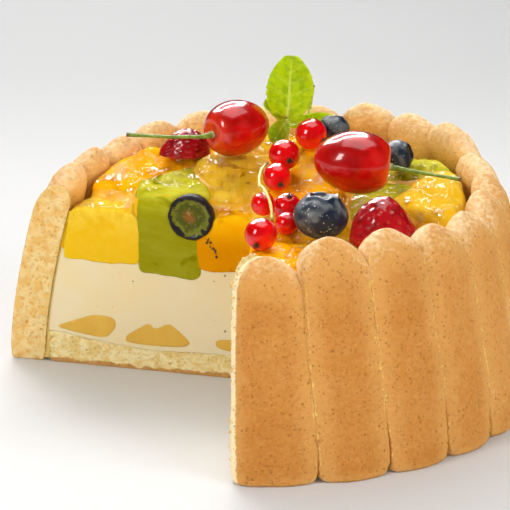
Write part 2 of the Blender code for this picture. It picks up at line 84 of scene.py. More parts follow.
def into_cake(azimuth: float) -> np.ndarray:
    """The level direction from one of the two cut faces into the cake that is left.

    Args:
        azimuth: SLICE_FROM or SLICE_TO.

    Returns:
        A unit vector.
    """
    along = around(azimuth, 1.0, 0.0)
    side = np.array((-along[1], along[0], 0.0))
    return side if azimuth == SLICE_TO else -side


def smooth_step(value: np.ndarray, low: float, high: float) -> np.ndarray:
    """A soft step.

    Args:
        value: What is compared.
        low: Where the step leaves 0.
        high: Where it reaches 1.

    Returns:
        Numbers from 0 to 1.
    """
    share = np.clip((value - low) / (high - low), 0.0, 1.0)
    return share * share * (3.0 - 2.0 * share)


def signed_power(value: np.ndarray, power: float) -> np.ndarray:
    """The values raised to a power, each with its sign kept."""
    return np.sign(value) * np.abs(value) ** power


class Noise:
    """Smooth noise over points in space, the same on each run for the same seed."""

    def __init__(self, seed: int) -> None:
        """Draws the noise's own gradients from a seed."""
        draw = np.random.default_rng(seed)
        self.table = draw.permutation(256)
        way = draw.normal(size=(256, 3))
        self.gradients = way / np.linalg.norm(way, axis=1, keepdims=True)
        self.offsets = draw.random((256, 3))

    def key(self, cell: np.ndarray) -> np.ndarray:
        """One of 256 numbers for each cell of the lattice."""
        first = self.table[cell[:, 0] & 255]
        second = self.table[(first + cell[:, 1]) & 255]
        return self.table[(second + cell[:, 2]) & 255]

    def at(self, points: np.ndarray, size: float) -> np.ndarray:
        """One octave of noise.

        Args:
            points: Where it is read.
            size: The distance from one bump to the next.

        Returns:
            About -1 to 1 for each point.
        """
        scaled = points / size
        cell = np.floor(scaled).astype(int)
        part = scaled - cell
        fade = part * part * part * (part * (part * 6.0 - 15.0) + 10.0)
        total = np.zeros(len(points))
        for corner in itertools.product((0, 1), repeat=3):
            away = np.array(corner)
            slope = self.gradients[self.key(cell + away)]
            weight = np.prod(np.where(away, fade, 1.0 - fade), axis=1)
            total += weight * np.einsum("ij,ij->i", slope, part - away)
        return total * 1.7

    def octaves(self, points: np.ndarray, size: float, count: int = 3, gain: float = 0.5) -> np.ndarray:
        """Several octaves added up.

        Args:
            points: Where the noise is read.
            size: The first octave's size.
            count: How many octaves, each half the size of the one before.
            gain: Each octave's height as a share of the one before.

        Returns:
            About -1 to 1 for each point.
        """
        total = np.zeros(len(points))
        height = 1.0
        for octave in range(count):
            total += height * self.at(points + 17.3 * octave * size, size / 2 ** octave)
            height *= gain
        return total / sum(gain ** octave for octave in range(count))

    def pits(self, points: np.ndarray, size: float, width: float) -> np.ndarray:
        """Round pits scattered one to a cell.

        Args:
            points: Where they are read.
            size: The cell's size.
            width: A pit's radius as a share of the cell.

        Returns:
            0 outside the pits and up to 1 at their middles.
        """
        scaled = points / size
        cell = np.floor(scaled).astype(int)
        depth = np.zeros(len(points))
        for corner in itertools.product((-1, 0, 1), repeat=3):
            near = cell + np.array(corner)
            spot = self.offsets[self.key(near)]
            radius = width * (0.35 + 0.9 * spot[:, 0])
            away = np.linalg.norm(scaled - near - spot, axis=1) / radius
            depth = np.maximum(depth, np.clip(1.0 - away * away, 0.0, 1.0) * np.minimum(1.0, radius / width))
        return depth


@dataclass
class Surface:
    """A mesh in the making, about the cake's axis."""

    points: np.ndarray
    faces: np.ndarray
    values: dict[str, np.ndarray] = field(default_factory=dict)

    def normals(self) -> np.ndarray:
        """The outward direction at each point, from the faces round it."""
        corners = self.points[self.faces]
        across = np.cross(corners[:, 2] - corners[:, 0], corners[:, 3] - corners[:, 1])
        total = np.zeros_like(self.points)
        for corner in range(4):
            np.add.at(total, self.faces[:, corner], across)
        return total / np.maximum(np.linalg.norm(total, axis=1, keepdims=True), 1e-12)

    def push(self, distance: np.ndarray) -> None:
        """Moves each point outwards by its own distance."""
        self.points = self.points + self.normals() * distance[:, None]

    def turned_out(self) -> "Surface":
        """Makes the faces of a closed surface look outwards, told by the volume between them."""
        corners = self.points[self.faces]
        first = np.einsum("ij,ij->i", corners[:, 0], np.cross(corners[:, 1], corners[:, 2]))
        second = np.einsum("ij,ij->i", corners[:, 0], np.cross(corners[:, 2], corners[:, 3]))
        if (first + second).sum() < 0:
            self.faces = self.faces[:, ::-1]
        return self

    def welded(self) -> "Surface":
        """The surface with points that coincide made one."""
        _, keep, index = np.unique(np.round(self.points / 1e-6), axis=0, return_index=True, return_inverse=True)
        values = {name: value[keep] for name, value in self.values.items()}
        return Surface(self.points[keep], index.reshape(-1)[self.faces], values)

    def joined(self, other: "Surface") -> "Surface":
        """This surface and another as one."""
        values = {name: np.concatenate([value, other.values.get(name, np.zeros(len(other.points)))])
                  for name, value in self.values.items()}
        for name, value in other.values.items():
            values.setdefault(name, np.concatenate([np.zeros(len(self.points)), value]))
        faces = np.concatenate([self.faces, other.faces + len(self.points)])
        return Surface(np.concatenate([self.points, other.points]), faces, values)

    def to_object(self, name: str, material: bpy.types.Material) -> bpy.types.Object:
        """Makes the surface an object of the scene.

        Args:
            name: The object's name.
            material: Its material.

        Returns:
            The new object, shaded smooth.
        """
        faces = [tuple(dict.fromkeys(face)) for face in self.faces.tolist()]
        mesh = bpy.data.meshes.new(name)
        mesh.from_pydata((self.points + CAKE_AXIS).tolist(), [], [face for face in faces if len(face) > 2])
        for key, value in self.values.items():
            attribute = mesh.attributes.new(key, "FLOAT", "POINT")
            attribute.data.foreach_set("value", value.astype(np.float32))
        mesh.materials.append(material)
        mesh.shade_smooth()
        piece = bpy.data.objects.new(name, mesh)
        bpy.context.scene.collection.objects.link(piece)
        return piece


def grid_faces(rows: int, columns: int, closed: bool = False) -> np.ndarray:
    """The faces of a grid of points that is stored row by row.

    Args:
        rows: How many rows of points.
        columns: How many points in a row.
        closed: Whether the last column joins the first.

    Returns:
        Four point numbers for each face.
    """
    row = np.arange(rows - 1)[:, None]
    column = np.arange(columns if closed else columns - 1)[None, :]
    after = (column + 1) % columns
    corners = (row * columns + column, row * columns + after,
               (row + 1) * columns + after, (row + 1) * columns + column)
    whole = [np.broadcast_to(corner, (rows - 1, column.size)).reshape(-1) for corner in corners]
    return np.stack(whole, axis=1)


def ball(rows: int, columns: int) -> Surface:
    """A unit sphere whose points run from the lower pole to the upper one.

    Args:
        rows: Rings of points, the poles among them.
        columns: Points in a ring.

    Returns:
        A closed surface.
    """
    polar = np.linspace(-90.0, 90.0, rows)[:, None]
    turn = np.arange(columns)[None, :] * 360.0 / columns
    points = around(turn, np.cos(np.radians(polar)), np.sin(np.radians(polar))).reshape(-1, 3)
    return Surface(points, grid_faces(rows, columns, closed=True)).welded()


def facing(pole: Point) -> np.ndarray:
    """A rotation that turns +Z to a given direction."""
    return np.array(Vector(pole).to_track_quat("Z", "Y").to_matrix())


def smooth_path(points: tuple[Point, ...], steps: int) -> np.ndarray:
    """A smooth curve through points.

    Args:
        points: The points, in order.
        steps: How many pieces lie between two of them.

    Returns:
        The curve's points.
    """
    given = np.array(points)
    padded = np.concatenate([[2 * given[0] - given[1]], given, [2 * given[-1] - given[-2]]])
    share = np.arange(steps)[:, None] / steps
    found = []
    for index in range(len(given) - 1):
        a, b, c, d = padded[index:index + 4]
        found.append(0.5 * (2 * b + (c - a) * share + (2 * a - 5 * b + 4 * c - d) * share ** 2
                            + (3 * b - a - 3 * c + d) * share ** 3))
    return np.concatenate(found + [given[-1:]])


def stalk(path: np.ndarray, radius: np.ndarray, sides: int = 12) -> Surface:
    """A round stalk along a path, closed at both ends.

    Args:
        path: The points along its middle.
        radius: Its radius at each of them.
        sides: Points round it.

    Returns:
        A closed surface with the value along, from 0 at its start to 1 at its end.
    """
    way = np.gradient(path, axis=0)
    way /= np.linalg.norm(way, axis=1, keepdims=True)
    side = np.cross(way, (0.13, 0.31, 0.94))
    side /= np.linalg.norm(side, axis=1, keepdims=True)
    up = np.cross(way, side)
    turn = np.arange(sides) * 2.0 * math.pi / sides
    thickness = np.concatenate([[0.0], radius, [0.0]])
    index = np.concatenate([[0], np.arange(len(path)), [len(path) - 1]])
    ring = np.cos(turn)[None, :, None] * side[index][:, None] + np.sin(turn)[None, :, None] * up[index][:, None]
    points = path[index][:, None] + ring * thickness[:, None, None]
    share = np.repeat(index / (len(path) - 1.0), sides)
    surface = Surface(points.reshape(-1, 3), grid_faces(len(index), sides, closed=True), {"along": share})
    return surface.welded()


class Tree:
    """Short calls that add nodes to a node tree and join them."""

    def __init__(self, tree: bpy.types.NodeTree) -> None:
        """Works on the given tree."""
        self.tree = tree

    def fill(self, node: bpy.types.Node, inputs: dict[str | int, object]) -> bpy.types.Node:
        """Gives each of a node's inputs a value or another node's output, and returns the node."""
        for key, value in inputs.items():
            if isinstance(value, bpy.types.NodeSocket):
                self.tree.links.new(value, node.inputs[key])
            else:
                node.inputs[key].default_value = value
        return node

    def add(self, kind: str, inputs: dict[str | int, object], **settings: object) -> bpy.types.Node:
        """Adds a node.

        Args:
            kind: The node's type without the word ShaderNode.
            inputs: A value or another node's output for each input.
            **settings: The node's own options.

        Returns:
            The new node.
        """
        node = self.tree.nodes.new("ShaderNode" + kind)
        for key, value in settings.items():
            setattr(node, key, value)
        return self.fill(node, inputs)

    def group(self, effect: "Effect", **inputs: object) -> bpy.types.Node:
        """Places a shared effect with its own values."""
        return self.fill(self.add("Group", {}, node_tree=effect.tree()), inputs)

    def mix(self, share: object, first: object, second: object) -> Socket:
        """A colour between two colours, the share being how much of the second."""
        return self.add("Mix", {0: share, 6: full(first), 7: full(second)}, data_type="RGBA").outputs[2]

    def math(self, operation: str, first: object, second: object = 0.0) -> Socket:
        """A sum, product or the like of two numbers."""
        return self.add("Math", {0: first, 1: second}, operation=operation).outputs[0]

    def plus(self, *parts: object) -> Socket:
        """The sum of two or more numbers."""
        return functools.reduce(functools.partial(self.math, "ADD"), parts)

    def times(self, first: object, second: object) -> Socket:
        """The product of two numbers."""
        return self.math("MULTIPLY", first, second)

    def swing(self, value: Socket, gain: float, middle: float = 0.5) -> Socket:
        """How far a value lies above its middle, times a gain."""
        return self.times(self.math("SUBTRACT", value, middle), gain)

    def band(self, value: object, low: float, high: float, least: float = 0.0, most: float = 1.0) -> Socket:
        """A value mapped softly from one range to another.

        Args:
            value: The number to map.
            low: What maps to least.
            high: What maps to most.
            least: The result below low.
            most: The result above high.

        Returns:
            The output with the mapped number.
        """
        parts = {"Value": value, "From Min": low, "From Max": high, "To Min": least, "To Max": most}
        return self.add("MapRange", parts, interpolation_type="SMOOTHSTEP").outputs["Result"]

    def noise(self, point: Socket, scale: float, detail: float = 2.0, twist: float = 0.0) -> Socket:
        """Soft noise, with scale in bumps to a millimetre."""
        parts = {"Vector": point, "Scale": scale, "Detail": detail, "Distortion": twist}
        return self.add("TexNoise", parts).outputs["Fac"]

    def cells(self, point: Socket, scale: object) -> bpy.types.Node:
        """The nearest of many scattered points: its distance, and a colour of its own."""
        return self.add("TexVoronoi", {"Vector": point, "Scale": scale, "Randomness": 1.0})

    def dotted(self, colour: Socket, dot: Colour, dots: bpy.types.Node, share: object) -> Socket:
        """A colour with the dots of a specks group strewn over it, as strongly as the share says."""
        return self.mix(self.times(dots.outputs["Mask"], share), colour, dot)

    def stretched(self, point: Socket, scale: Point, turn: Point = (0.0, 0.0, 0.0)) -> Socket:
        """The point turned by degrees and scaled along each axis."""
        parts = {"Vector": point, "Scale": scale, "Rotation": tuple(math.radians(angle) for angle in turn)}
        return self.add("Mapping", parts).outputs["Vector"]

    def value(self, name: str) -> Socket:
        """A value that the mesh carries at each of its points."""
        return self.add("Attribute", {}, attribute_name=name).outputs["Fac"]

    def bump(self, height: Socket, distance: float, strength: float = 1.0) -> Socket:
        """A normal bent by a height in metres times distance."""
        sockets = {"Height": height, "Distance": distance, "Strength": strength}
        return self.add("Bump", sockets).outputs["Normal"]


def full(colour: object) -> object:
    """A colour with its fourth number, or an output left as it is."""
    return (*colour, 1.0) if isinstance(colour, tuple) and len(colour) == 3 else colour


class Effect(Enum):
    """An effect that several finishes share, kept as one node group with named inputs and outputs."""

    PORES = "open_crumb"
    SPECKS = "scattered_specks"
    WRINKLES = "wet_wrinkles"
    FIBRES = "flesh_fibres"

    def tree(self) -> bpy.types.NodeTree:
        """The effect's node group, built the first time that it is asked for."""
        found = bpy.data.node_groups.get(self.value)
        return found or self.build()

    def build(self) -> bpy.types.NodeTree:
        """Builds the node group."""
        group = bpy.data.node_groups.new(self.value, "ShaderNodeTree")
        new_socket = group.interface.new_socket
        new_socket("Point", in_out="INPUT", socket_type="NodeSocketVector")
        for way, name in (("INPUT", "Scale"), ("INPUT", "Amount"), ("OUTPUT", "Mask"), ("OUTPUT", "Height")):
            new_socket(name, in_out=way, socket_type="NodeSocketFloat")
        given = group.nodes.new("NodeGroupInput").outputs
        out = group.nodes.new("NodeGroupOutput").inputs
        maker = {Effect.PORES: pores, Effect.SPECKS: specks,
                 Effect.WRINKLES: wrinkles, Effect.FIBRES: fibres}[self]
        mask, height = maker(Tree(group), given["Point"], given["Scale"], given["Amount"])
        group.links.new(mask, out["Mask"])
        group.links.new(height, out["Height"])
        return group


def pores(tree: Tree, point: Socket, scale: Socket, amount: Socket) -> tuple[Socket, Socket]:
    """Bubbles of two sizes opened by a knife: a mask of the holes, and the height of the crumb."""
    warp = tree.add("TexNoise", {"Vector": point, "Scale": 0.9})
    bent = tree.add("VectorMath", {0: point, 1: warp.outputs["Color"]}).outputs[0]
    large = tree.cells(bent, scale).outputs["Distance"]
    fine = tree.cells(bent, tree.times(scale, 2.7)).outputs["Distance"]
    both = tree.math("MAXIMUM", tree.band(large, 0.42, 0.12), tree.band(fine, 0.40, 0.10, 0.0, 0.6))
    mask = tree.times(both, amount)
    return mask, tree.math("SUBTRACT", 1.0, mask)


def specks(tree: Tree, point: Socket, scale: Socket, amount: Socket) -> tuple[Socket, Socket]:
    """Small dots, more of them as the amount grows: their mask, and a height that dips at each."""
    dots = tree.cells(point, scale)
    chosen = tree.add("SeparateColor", {"Color": dots.outputs["Color"]})
    kept = tree.math("LESS_THAN", chosen.outputs["Red"], amount)
    size = tree.add("Math", {0: chosen.outputs["Green"], 1: 0.22, 2: 0.10}, operation="MULTIPLY_ADD").outputs[0]
    inside = tree.math("SUBTRACT", size, dots.outputs["Distance"])
    mask = tree.times(tree.band(inside, 0.0, 0.12), kept)
    return mask, tree.math("SUBTRACT", 1.0, mask)


def wrinkles(tree: Tree, point: Socket, scale: Socket, amount: Socket) -> tuple[Socket, Socket]:
    """Soft folds in a skin of glaze: a mask of their crests, and their height."""
    warp = tree.add("TexNoise", {"Vector": point, "Scale": tree.times(scale, 0.6), "Detail": 1.0})
    bent = tree.add("VectorMath", {0: point, 1: warp.outputs["Color"]})
    fold = tree.add("TexNoise", {"Vector": bent.outputs[0], "Scale": scale, "Detail": 1.5, "Distortion": 1.2})
    ridge = tree.math("ABSOLUTE", tree.math("SUBTRACT", fold.outputs["Fac"], 0.5))
    return tree.band(ridge, 0.05, 0.0), tree.times(tree.band(ridge, 0.0, 0.16, 1.0, 0.0), amount)


def fibres(tree: Tree, point: Socket, scale: Socket, amount: Socket) -> tuple[Socket, Socket]:
    """Long soft streaks along the point's third axis: a mask and a height."""
    long_way = tree.stretched(point, (1.0, 1.0, 0.12))
    streak = tree.add("TexNoise", {"Vector": long_way, "Scale": scale, "Detail": 4.0, "Roughness": 0.6})
    cloud = tree.add("TexNoise", {"Vector": point, "Scale": tree.times(scale, 0.22), "Detail": 2.0})
    both = tree.plus(tree.times(streak.outputs["Fac"], 0.6), tree.times(cloud.outputs["Fac"], 0.4))
    return tree.times(tree.band(both, 0.32, 0.68), amount), tree.times(streak.outputs["Fac"], amount)


@dataclass(frozen=True)
class Finish:
    """What every finish has: the numbers that are the same all over a surface."""

    name: str
    roughness: float = 0.5
    coat: float = 0.0
    coat_roughness: float = 0.04
    subsurface: float = 0.0
    scatter: Colour = (1.0, 0.5, 0.25)
    depth: float = 0.002
    specular: float = 0.5

    def make(self) -> bpy.types.Material:
        """The finish as a material, made once and then shared."""
        found = bpy.data.materials.get(self.name)
        if found:
            return found
        material = bpy.data.materials.new(self.name)
        material.use_nodes = True
        tree = Tree(material.node_tree)
        shader = material.node_tree.nodes["Principled BSDF"]
        tree.fill(shader, {
            "Roughness": self.roughness, "Coat Weight": self.coat, "Coat Roughness": self.coat_roughness,
            "Subsurface Weight": self.subsurface, "Subsurface Radius": self.scatter,
            "Subsurface Scale": self.depth,
            "Specular IOR Level": self.specular,
        })
        place = tree.add("TexCoord", {})
        scaled = tree.add("VectorMath", {0: place.outputs["Object"], "Scale": 1.0 / MM}, operation="SCALE")
        self.paint(tree, shader, scaled.outputs[0])
        return material

    def paint(self, tree: Tree, shader: bpy.types.Node, point: Socket) -> None:
        """Adds the nodes that vary over the surface.

        Args:
            tree: The material's tree.
            shader: Its Principled shader.
            point: The place on the surface, in millimetres.
        """
        raise NotImplementedError

    @staticmethod
    def join(tree: Tree, shader: bpy.types.Node, **outputs: Socket) -> None:
        """Joins outputs to the shader's inputs of the same names, with _ for a blank."""
        for name, output in outputs.items():
            tree.tree.links.new(output, shader.inputs[name.replace("_", " ")])


@dataclass(frozen=True)
class CrustFinish(Finish):
    """The baked skin of a sponge finger: brown on its back, pale at its edges and end, with painted light
    making the crowns and the fingers on the right and at the back paler.
    """

    brown: Colour = (0.53, 0.200, 0.035)
    golden: Colour = (0.67, 0.330, 0.088)
    pale: Colour = (0.95, 0.72, 0.42)
    batter: Colour = (0.82, 0.60, 0.17)
    underside: Colour = (0.84, 0.47, 0.065)
    open_edge: Colour = (0.95, 0.78, 0.47)
    speck: Colour = (0.34, 0.13, 0.030)

    def paint(self, tree: Tree, shader: bpy.types.Node, point: Socket) -> None:
        """Browning that follows the mesh's value for baking with painted light, pale batter at the seams,
        specks and fine pits.
        """
        patch = tree.noise(point, 0.085, 3.0)
        grain = tree.noise(point, 0.85, 4.0)
        bake_and_light = tree.plus(tree.value("bake_and_light"), tree.plus(tree.swing(patch, 0.5), tree.swing(grain, 0.55)))
        colour = tree.mix(tree.band(bake_and_light, -0.20, 0.32), self.pale, self.golden)
        colour = tree.mix(tree.band(bake_and_light, 0.30, 1.05), colour, self.brown)
        colour = tree.mix(tree.value("inner"), colour, self.underside)
        ragged = tree.plus(tree.value("knife"), tree.swing(grain, 0.9))
        colour = tree.mix(tree.band(ragged, 0.30, 0.70), colour, self.open_edge)
        seam = tree.plus(tree.value("seam"), tree.swing(grain, 2.6, 0.60))
        colour = tree.mix(tree.band(seam, 0.45, 1.05, 0.0, 0.7), colour, self.batter)
        fade = tree.band(tree.value("bake_and_light"), 0.0, 0.5, 0.25, 0.72)
        for scale, amount in ((0.95, 0.70), (0.62, 0.36)):
            dots = tree.group(Effect.SPECKS, Point=point, Scale=scale, Amount=amount)
            colour = tree.dotted(colour, self.speck, dots, fade)
        pit = tree.group(Effect.SPECKS, Point=point, Scale=0.8, Amount=0.5)
        skin = tree.plus(tree.times(grain, 0.9), tree.times(pit.outputs["Height"], 0.8))
        rough = tree.bump(skin, 0.00060, 1.0)
        dull = tree.band(grain, 0.3, 0.7, 0.72, 0.92)
        self.join(tree, shader, Base_Color=colour, Normal=rough, Roughness=dull)


@dataclass(frozen=True)
class CrumbFinish(Finish):
    """The open inside of a sponge, with a baked rim where the mesh says so."""

    crumb: Colour = (0.84, 0.52, 0.16)
    deep: Colour = (0.84, 0.36, 0.03)
    light: Colour = (0.88, 0.66, 0.30)
    rim: Colour = (0.84, 0.42, 0.11)
    pore_scale: float = 0.75

    def paint(self, tree: Tree, shader: bpy.types.Node, point: Socket) -> None:
        """Pale crumb with darker pores, soft light and dark patches, and a browned rim."""
        holes = tree.group(Effect.PORES, Point=point, Scale=self.pore_scale, Amount=1.0)
        patch = tree.noise(point, 0.35, 3.0, 0.4)
        colour = tree.mix(tree.band(patch, 0.35, 0.62), self.crumb, self.light)
        warm = tree.times(holes.outputs["Mask"], tree.band(tree.noise(point, 0.5, 2.0), 0.42, 0.66))
        colour = tree.mix(tree.times(warm, 0.9), colour, self.deep)
        edge = tree.plus(tree.value("rim"), tree.swing(patch, 0.8))
        colour = tree.mix(tree.band(edge, 0.30, 0.80), colour, self.rim)
        self.join(tree, shader, Base_Color=colour, Normal=tree.bump(holes.outputs["Height"], 0.0004, 0.8))


@dataclass(frozen=True)
class CreamFinish(Finish):
    """Set cream, cut with a knife: fine pits and dark vanilla seeds."""

    cream: Colour = (0.80, 0.68, 0.43)
    shade: Colour = (0.82, 0.66, 0.36)
    seed: Colour = (0.16, 0.10, 0.04)
    amber: Colour = (0.80, 0.50, 0.12)

    def paint(self, tree: Tree, shader: bpy.types.Node, point: Socket) -> None:
        """Nearly even ivory with sparse seeds and a few amber dots."""
        cloud = tree.noise(point, 0.05, 2.0)
        colour = tree.mix(tree.band(cloud, 0.35, 0.65), self.cream, self.shade)
        seeds = tree.group(Effect.SPECKS, Point=point, Scale=0.62, Amount=0.035)
        colour = tree.dotted(colour, self.seed, seeds, 0.75)
        elsewhere = tree.stretched(point, (1.0, 1.0, 1.0), (20.0, 30.0, 0.0))
        spots = tree.group(Effect.SPECKS, Point=elsewhere, Scale=0.36, Amount=0.03)
        colour = tree.dotted(colour, self.amber, spots, 0.7)
        pits = tree.group(Effect.SPECKS, Point=point, Scale=0.45, Amount=0.14)
        drag = tree.noise(tree.stretched(point, (0.3, 0.3, 1.6)), 0.9, 2.0)
        height = tree.plus(pits.outputs["Height"], tree.times(drag, 0.35))
        self.join(tree, shader, Base_Color=colour, Normal=tree.bump(height, 0.00012, 0.6))


@dataclass(frozen=True)
class FleshFinish(Finish):
    """Cut fruit under glaze: two main colours in soft fibres, a third for its deep parts and for its foot,
    which on the fruit is painted shade.
    """

    subsurface: float = 0.25
    depth: float = 0.003
    specular: float = 0.0
    main: Colour = (0.95, 0.45, 0.01)
    streak: Colour = (1.0, 0.60, 0.05)
    deep: Colour = (0.80, 0.30, 0.005)
    grain: float = 0.5
    turn: Point = (0.0, 0.0, 0.0)
    fibre: float = 1.0
    wrinkle: float = 1.0
    foot_from: float = 51.0
    foot_to: float = 39.0
    foot_share: float = 0.8

    def paint(self, tree: Tree, shader: bpy.types.Node, point: Socket) -> None:
        """Fibres along the turned axis, soft clouds of the deep colour, and the wrinkled wet skin."""
        turned = tree.stretched(point, (1.0, 1.0, 1.0), self.turn)
        lines = tree.group(Effect.FIBRES, Point=turned, Scale=self.grain, Amount=self.fibre)
        colour = tree.mix(lines.outputs["Mask"], self.main, self.streak)
        cloud = tree.band(tree.noise(point, 0.13, 2.0, 0.5), 0.52, 0.72)
        # Towards the foot the deep colour takes over: painted shade on the lower, cut parts of the fruit below
        # their lit tops; on the syrup the foot colour is its own paler colour near the cream.
        place = tree.add("SeparateXYZ", {"Vector": point})
        foot = tree.band(place.outputs["Z"], self.foot_from, self.foot_to, 0.0, self.foot_share)
        colour = tree.mix(tree.math("MAXIMUM", cloud, foot), colour, self.deep)
        folds = tree.group(Effect.WRINKLES, Point=point, Scale=0.32, Amount=self.wrinkle)
        flesh = tree.bump(lines.outputs["Height"], 0.00035, 0.5)
        wet = tree.bump(folds.outputs["Height"], 0.0005, 0.5)
        self.join(tree, shader, Base_Color=colour, Normal=flesh, Coat_Normal=wet)


@dataclass(frozen=True)
class SkinFinish(Finish):
    """The skin of a cherry, currant or strawberry, lighter towards the mesh's glow value, which on the cherries
    and currants is painted light.
    """

    main: Colour = (0.55, 0.006, 0.004)
    glow: Colour = (0.85, 0.05, 0.01)
    dark: Colour = (0.25, 0.002, 0.002)
    mark: Colour = (0.25, 0.12, 0.02)
    scale: float = 0.25
    bumps: float = 0.3

    def paint(self, tree: Tree, shader: bpy.types.Node, point: Socket) -> None:
        """Soft mottling, the glow, and small marks where the mesh has a seed or scar."""
        cloud = tree.noise(point, self.scale, 3.0, 0.3)
        colour = tree.mix(tree.band(cloud, 0.38, 0.66), self.main, self.dark)
        colour = tree.mix(tree.value("glow"), colour, self.glow)
        colour = tree.mix(tree.value("mark"), colour, self.mark)
        height = tree.plus(tree.times(tree.noise(point, 0.9, 3.0), 0.25), tree.noise(point, 0.20, 2.0))
        self.join(tree, shader, Base_Color=colour, Normal=tree.bump(height, 0.0004, self.bumps))


@dataclass(frozen=True)
class BloomFinish(Finish):
    """A blueberry's skin: slate blue with a dusty bloom and pale glaze specks painted as glints, dark in its
    crown.
    """

    skin: Colour = (0.010, 0.020, 0.040)
    bloom: Colour = (0.105, 0.120, 0.125)
    speckle: Colour = (0.66, 0.64, 0.46)
    bare: Colour = (0.008, 0.010, 0.016)

    def paint(self, tree: Tree, shader: bpy.types.Node, point: Socket) -> None:
        """Bloom in clouds, pale specks with painted glints where the mesh says so, and the bare dark crown."""
        cloud = tree.noise(point, 0.30, 4.0, 0.4)
        colour = tree.mix(tree.band(cloud, 0.44, 0.70), self.skin, self.bloom)
        # Pale specks where the mesh's value is high: glaze specks with painted glints.
        glint_specks = tree.group(Effect.SPECKS, Point=point, Scale=1.3, Amount=0.95)
        there = tree.times(tree.value("glint_specks"), tree.band(cloud, 0.15, 0.32))
        colour = tree.dotted(colour, self.speckle, glint_specks, there)
        colour = tree.mix(tree.value("crown"), colour, self.bare)
        rough = tree.band(cloud, 0.35, 0.70, 0.28, 0.60)
        bump = tree.bump(tree.noise(point, 0.8, 3.0), 0.0002, 0.4)
        self.join(tree, shader, Base_Color=colour, Roughness=rough, Normal=bump)


@dataclass(frozen=True)
class HalfBerryFinish(Finish):
    """A blueberry's cut face: skin, green flesh and a brown middle, by the mesh's ring value."""

    skin: Colour = (0.020, 0.016, 0.020)
    flesh: Colour = (0.075, 0.085, 0.005)
    inner: Colour = (0.17, 0.18, 0.014)
    core: Colour = (0.26, 0.10, 0.012)
    seed: Colour = (0.10, 0.045, 0.010)
    pulp: Colour = (0.42, 0.36, 0.10)

    def paint(self, tree: Tree, shader: bpy.types.Node, point: Socket) -> None:
        """Rings of colour with uneven borders."""
        fine = tree.noise(point, 0.8, 4.0, 0.6)
        broad = tree.noise(point, 0.22, 2.0, 0.8)
        both = tree.plus(tree.times(fine, 0.35), tree.times(broad, 0.65))
        ring = tree.plus(tree.value("ring"), tree.math("SUBTRACT", both, 0.5))
        colour = tree.mix(tree.band(ring, 0.08, 0.38), self.core, self.flesh)
        colour = tree.mix(tree.band(ring, 0.50, 0.66), colour, self.inner)
        seeds = tree.group(Effect.SPECKS, Point=point, Scale=0.75, Amount=0.45)
        colour = tree.dotted(colour, self.seed, seeds, tree.band(tree.value("ring"), 0.62, 0.35))
        pale = tree.times(tree.band(fine, 0.55, 0.70), tree.band(ring, 0.85, 0.4))
        colour = tree.mix(tree.times(pale, 0.5), colour, self.pulp)
        colour = tree.mix(tree.band(ring, 0.73, 0.80), colour, self.skin)
        self.join(tree, shader, Base_Color=colour, Normal=tree.bump(fine, 0.0005, 0.6))


@dataclass(frozen=True)
class LeafFinish(Finish):
    """A mint leaf: bright green, with paler ribs where the mesh says so."""

    main: Colour = (0.42, 0.53, 0.003)
    dark: Colour = (0.28, 0.40, 0.004)
    rib: Colour = (0.72, 0.76, 0.20)

    def paint(self, tree: Tree, shader: bpy.types.Node, point: Socket) -> None:
        """Mottled green with ribs and fine blisters."""
        cloud = tree.noise(point, 0.45, 3.0)
        colour = tree.mix(tree.band(cloud, 0.40, 0.70), self.main, self.dark)
        colour = tree.mix(tree.value("rib"), colour, self.rib)
        net = tree.cells(point, 0.9).outputs["Distance"]
        self.join(tree, shader, Base_Color=colour, Normal=tree.bump(net, 0.0004, 0.5))


@dataclass(frozen=True)
class StemFinish(Finish):
    """A thin stalk, its two ends in colours of their own."""

    main: Colour = (0.13, 0.19, 0.02)
    start: Colour = (0.62, 0.62, 0.36)
    end: Colour = (0.14, 0.07, 0.02)
    start_length: float = 0.12
    end_length: float = 0.06

    def paint(self, tree: Tree, shader: bpy.types.Node, point: Socket) -> None:
        """Colour along the stalk, with soft streaks."""
        along = tree.value("along")
        streak = tree.noise(point, 0.9, 3.0)
        colour = tree.mix(tree.band(streak, 0.35, 0.7), self.main, tuple(part * 1.7 for part in self.main))
        colour = tree.mix(tree.band(along, self.start_length, 0.0), colour, self.start)
        colour = tree.mix(tree.band(along, 1.0 - self.end_length, 1.0), colour, self.end)
        self.join(tree, shader, Base_Color=colour, Normal=tree.bump(streak, 0.0003, 0.5))


@dataclass(frozen=True)
class FilmFinish(Finish):
    """A thin clear skin of glaze: what is behind it shows, and its surface mirrors the lights."""

    tint: Colour = (1.0, 0.97, 0.90)
    bend: float = 1.45

    def paint(self, tree: Tree, shader: bpy.types.Node, point: Socket) -> None:
        """Mixes a clear shader with the shiny one by the angle of sight, in pools and on the folds' crests."""
        folds = tree.group(Effect.WRINKLES, Point=point, Scale=0.30, Amount=1.0)
        wet = tree.bump(folds.outputs["Height"], 0.0007, 1.0)
        tree.fill(shader, {"Metallic": 1.0, "Base Color": (1.0, 1.0, 1.0, 1.0), "Normal": wet})
        clear = tree.add("BsdfTransparent", {"Color": full(self.tint)})
        gloss = tree.add("Fresnel", {"IOR": self.bend, "Normal": wet})
        pool = tree.band(tree.noise(point, 0.17, 2.5, 1.6), 0.572, 0.596)
        crest = tree.band(folds.outputs["Mask"], 0.70, 0.95)
        where = tree.band(tree.math("MAXIMUM", pool, crest), 0.0, 1.0)
        share = tree.times(gloss.outputs[0], where)
        both = tree.add("MixShader", {0: share, 1: clear.outputs[0], 2: shader.outputs[0]})
        tree.tree.links.new(both.outputs[0], tree.tree.nodes["Material Output"].inputs["Surface"])


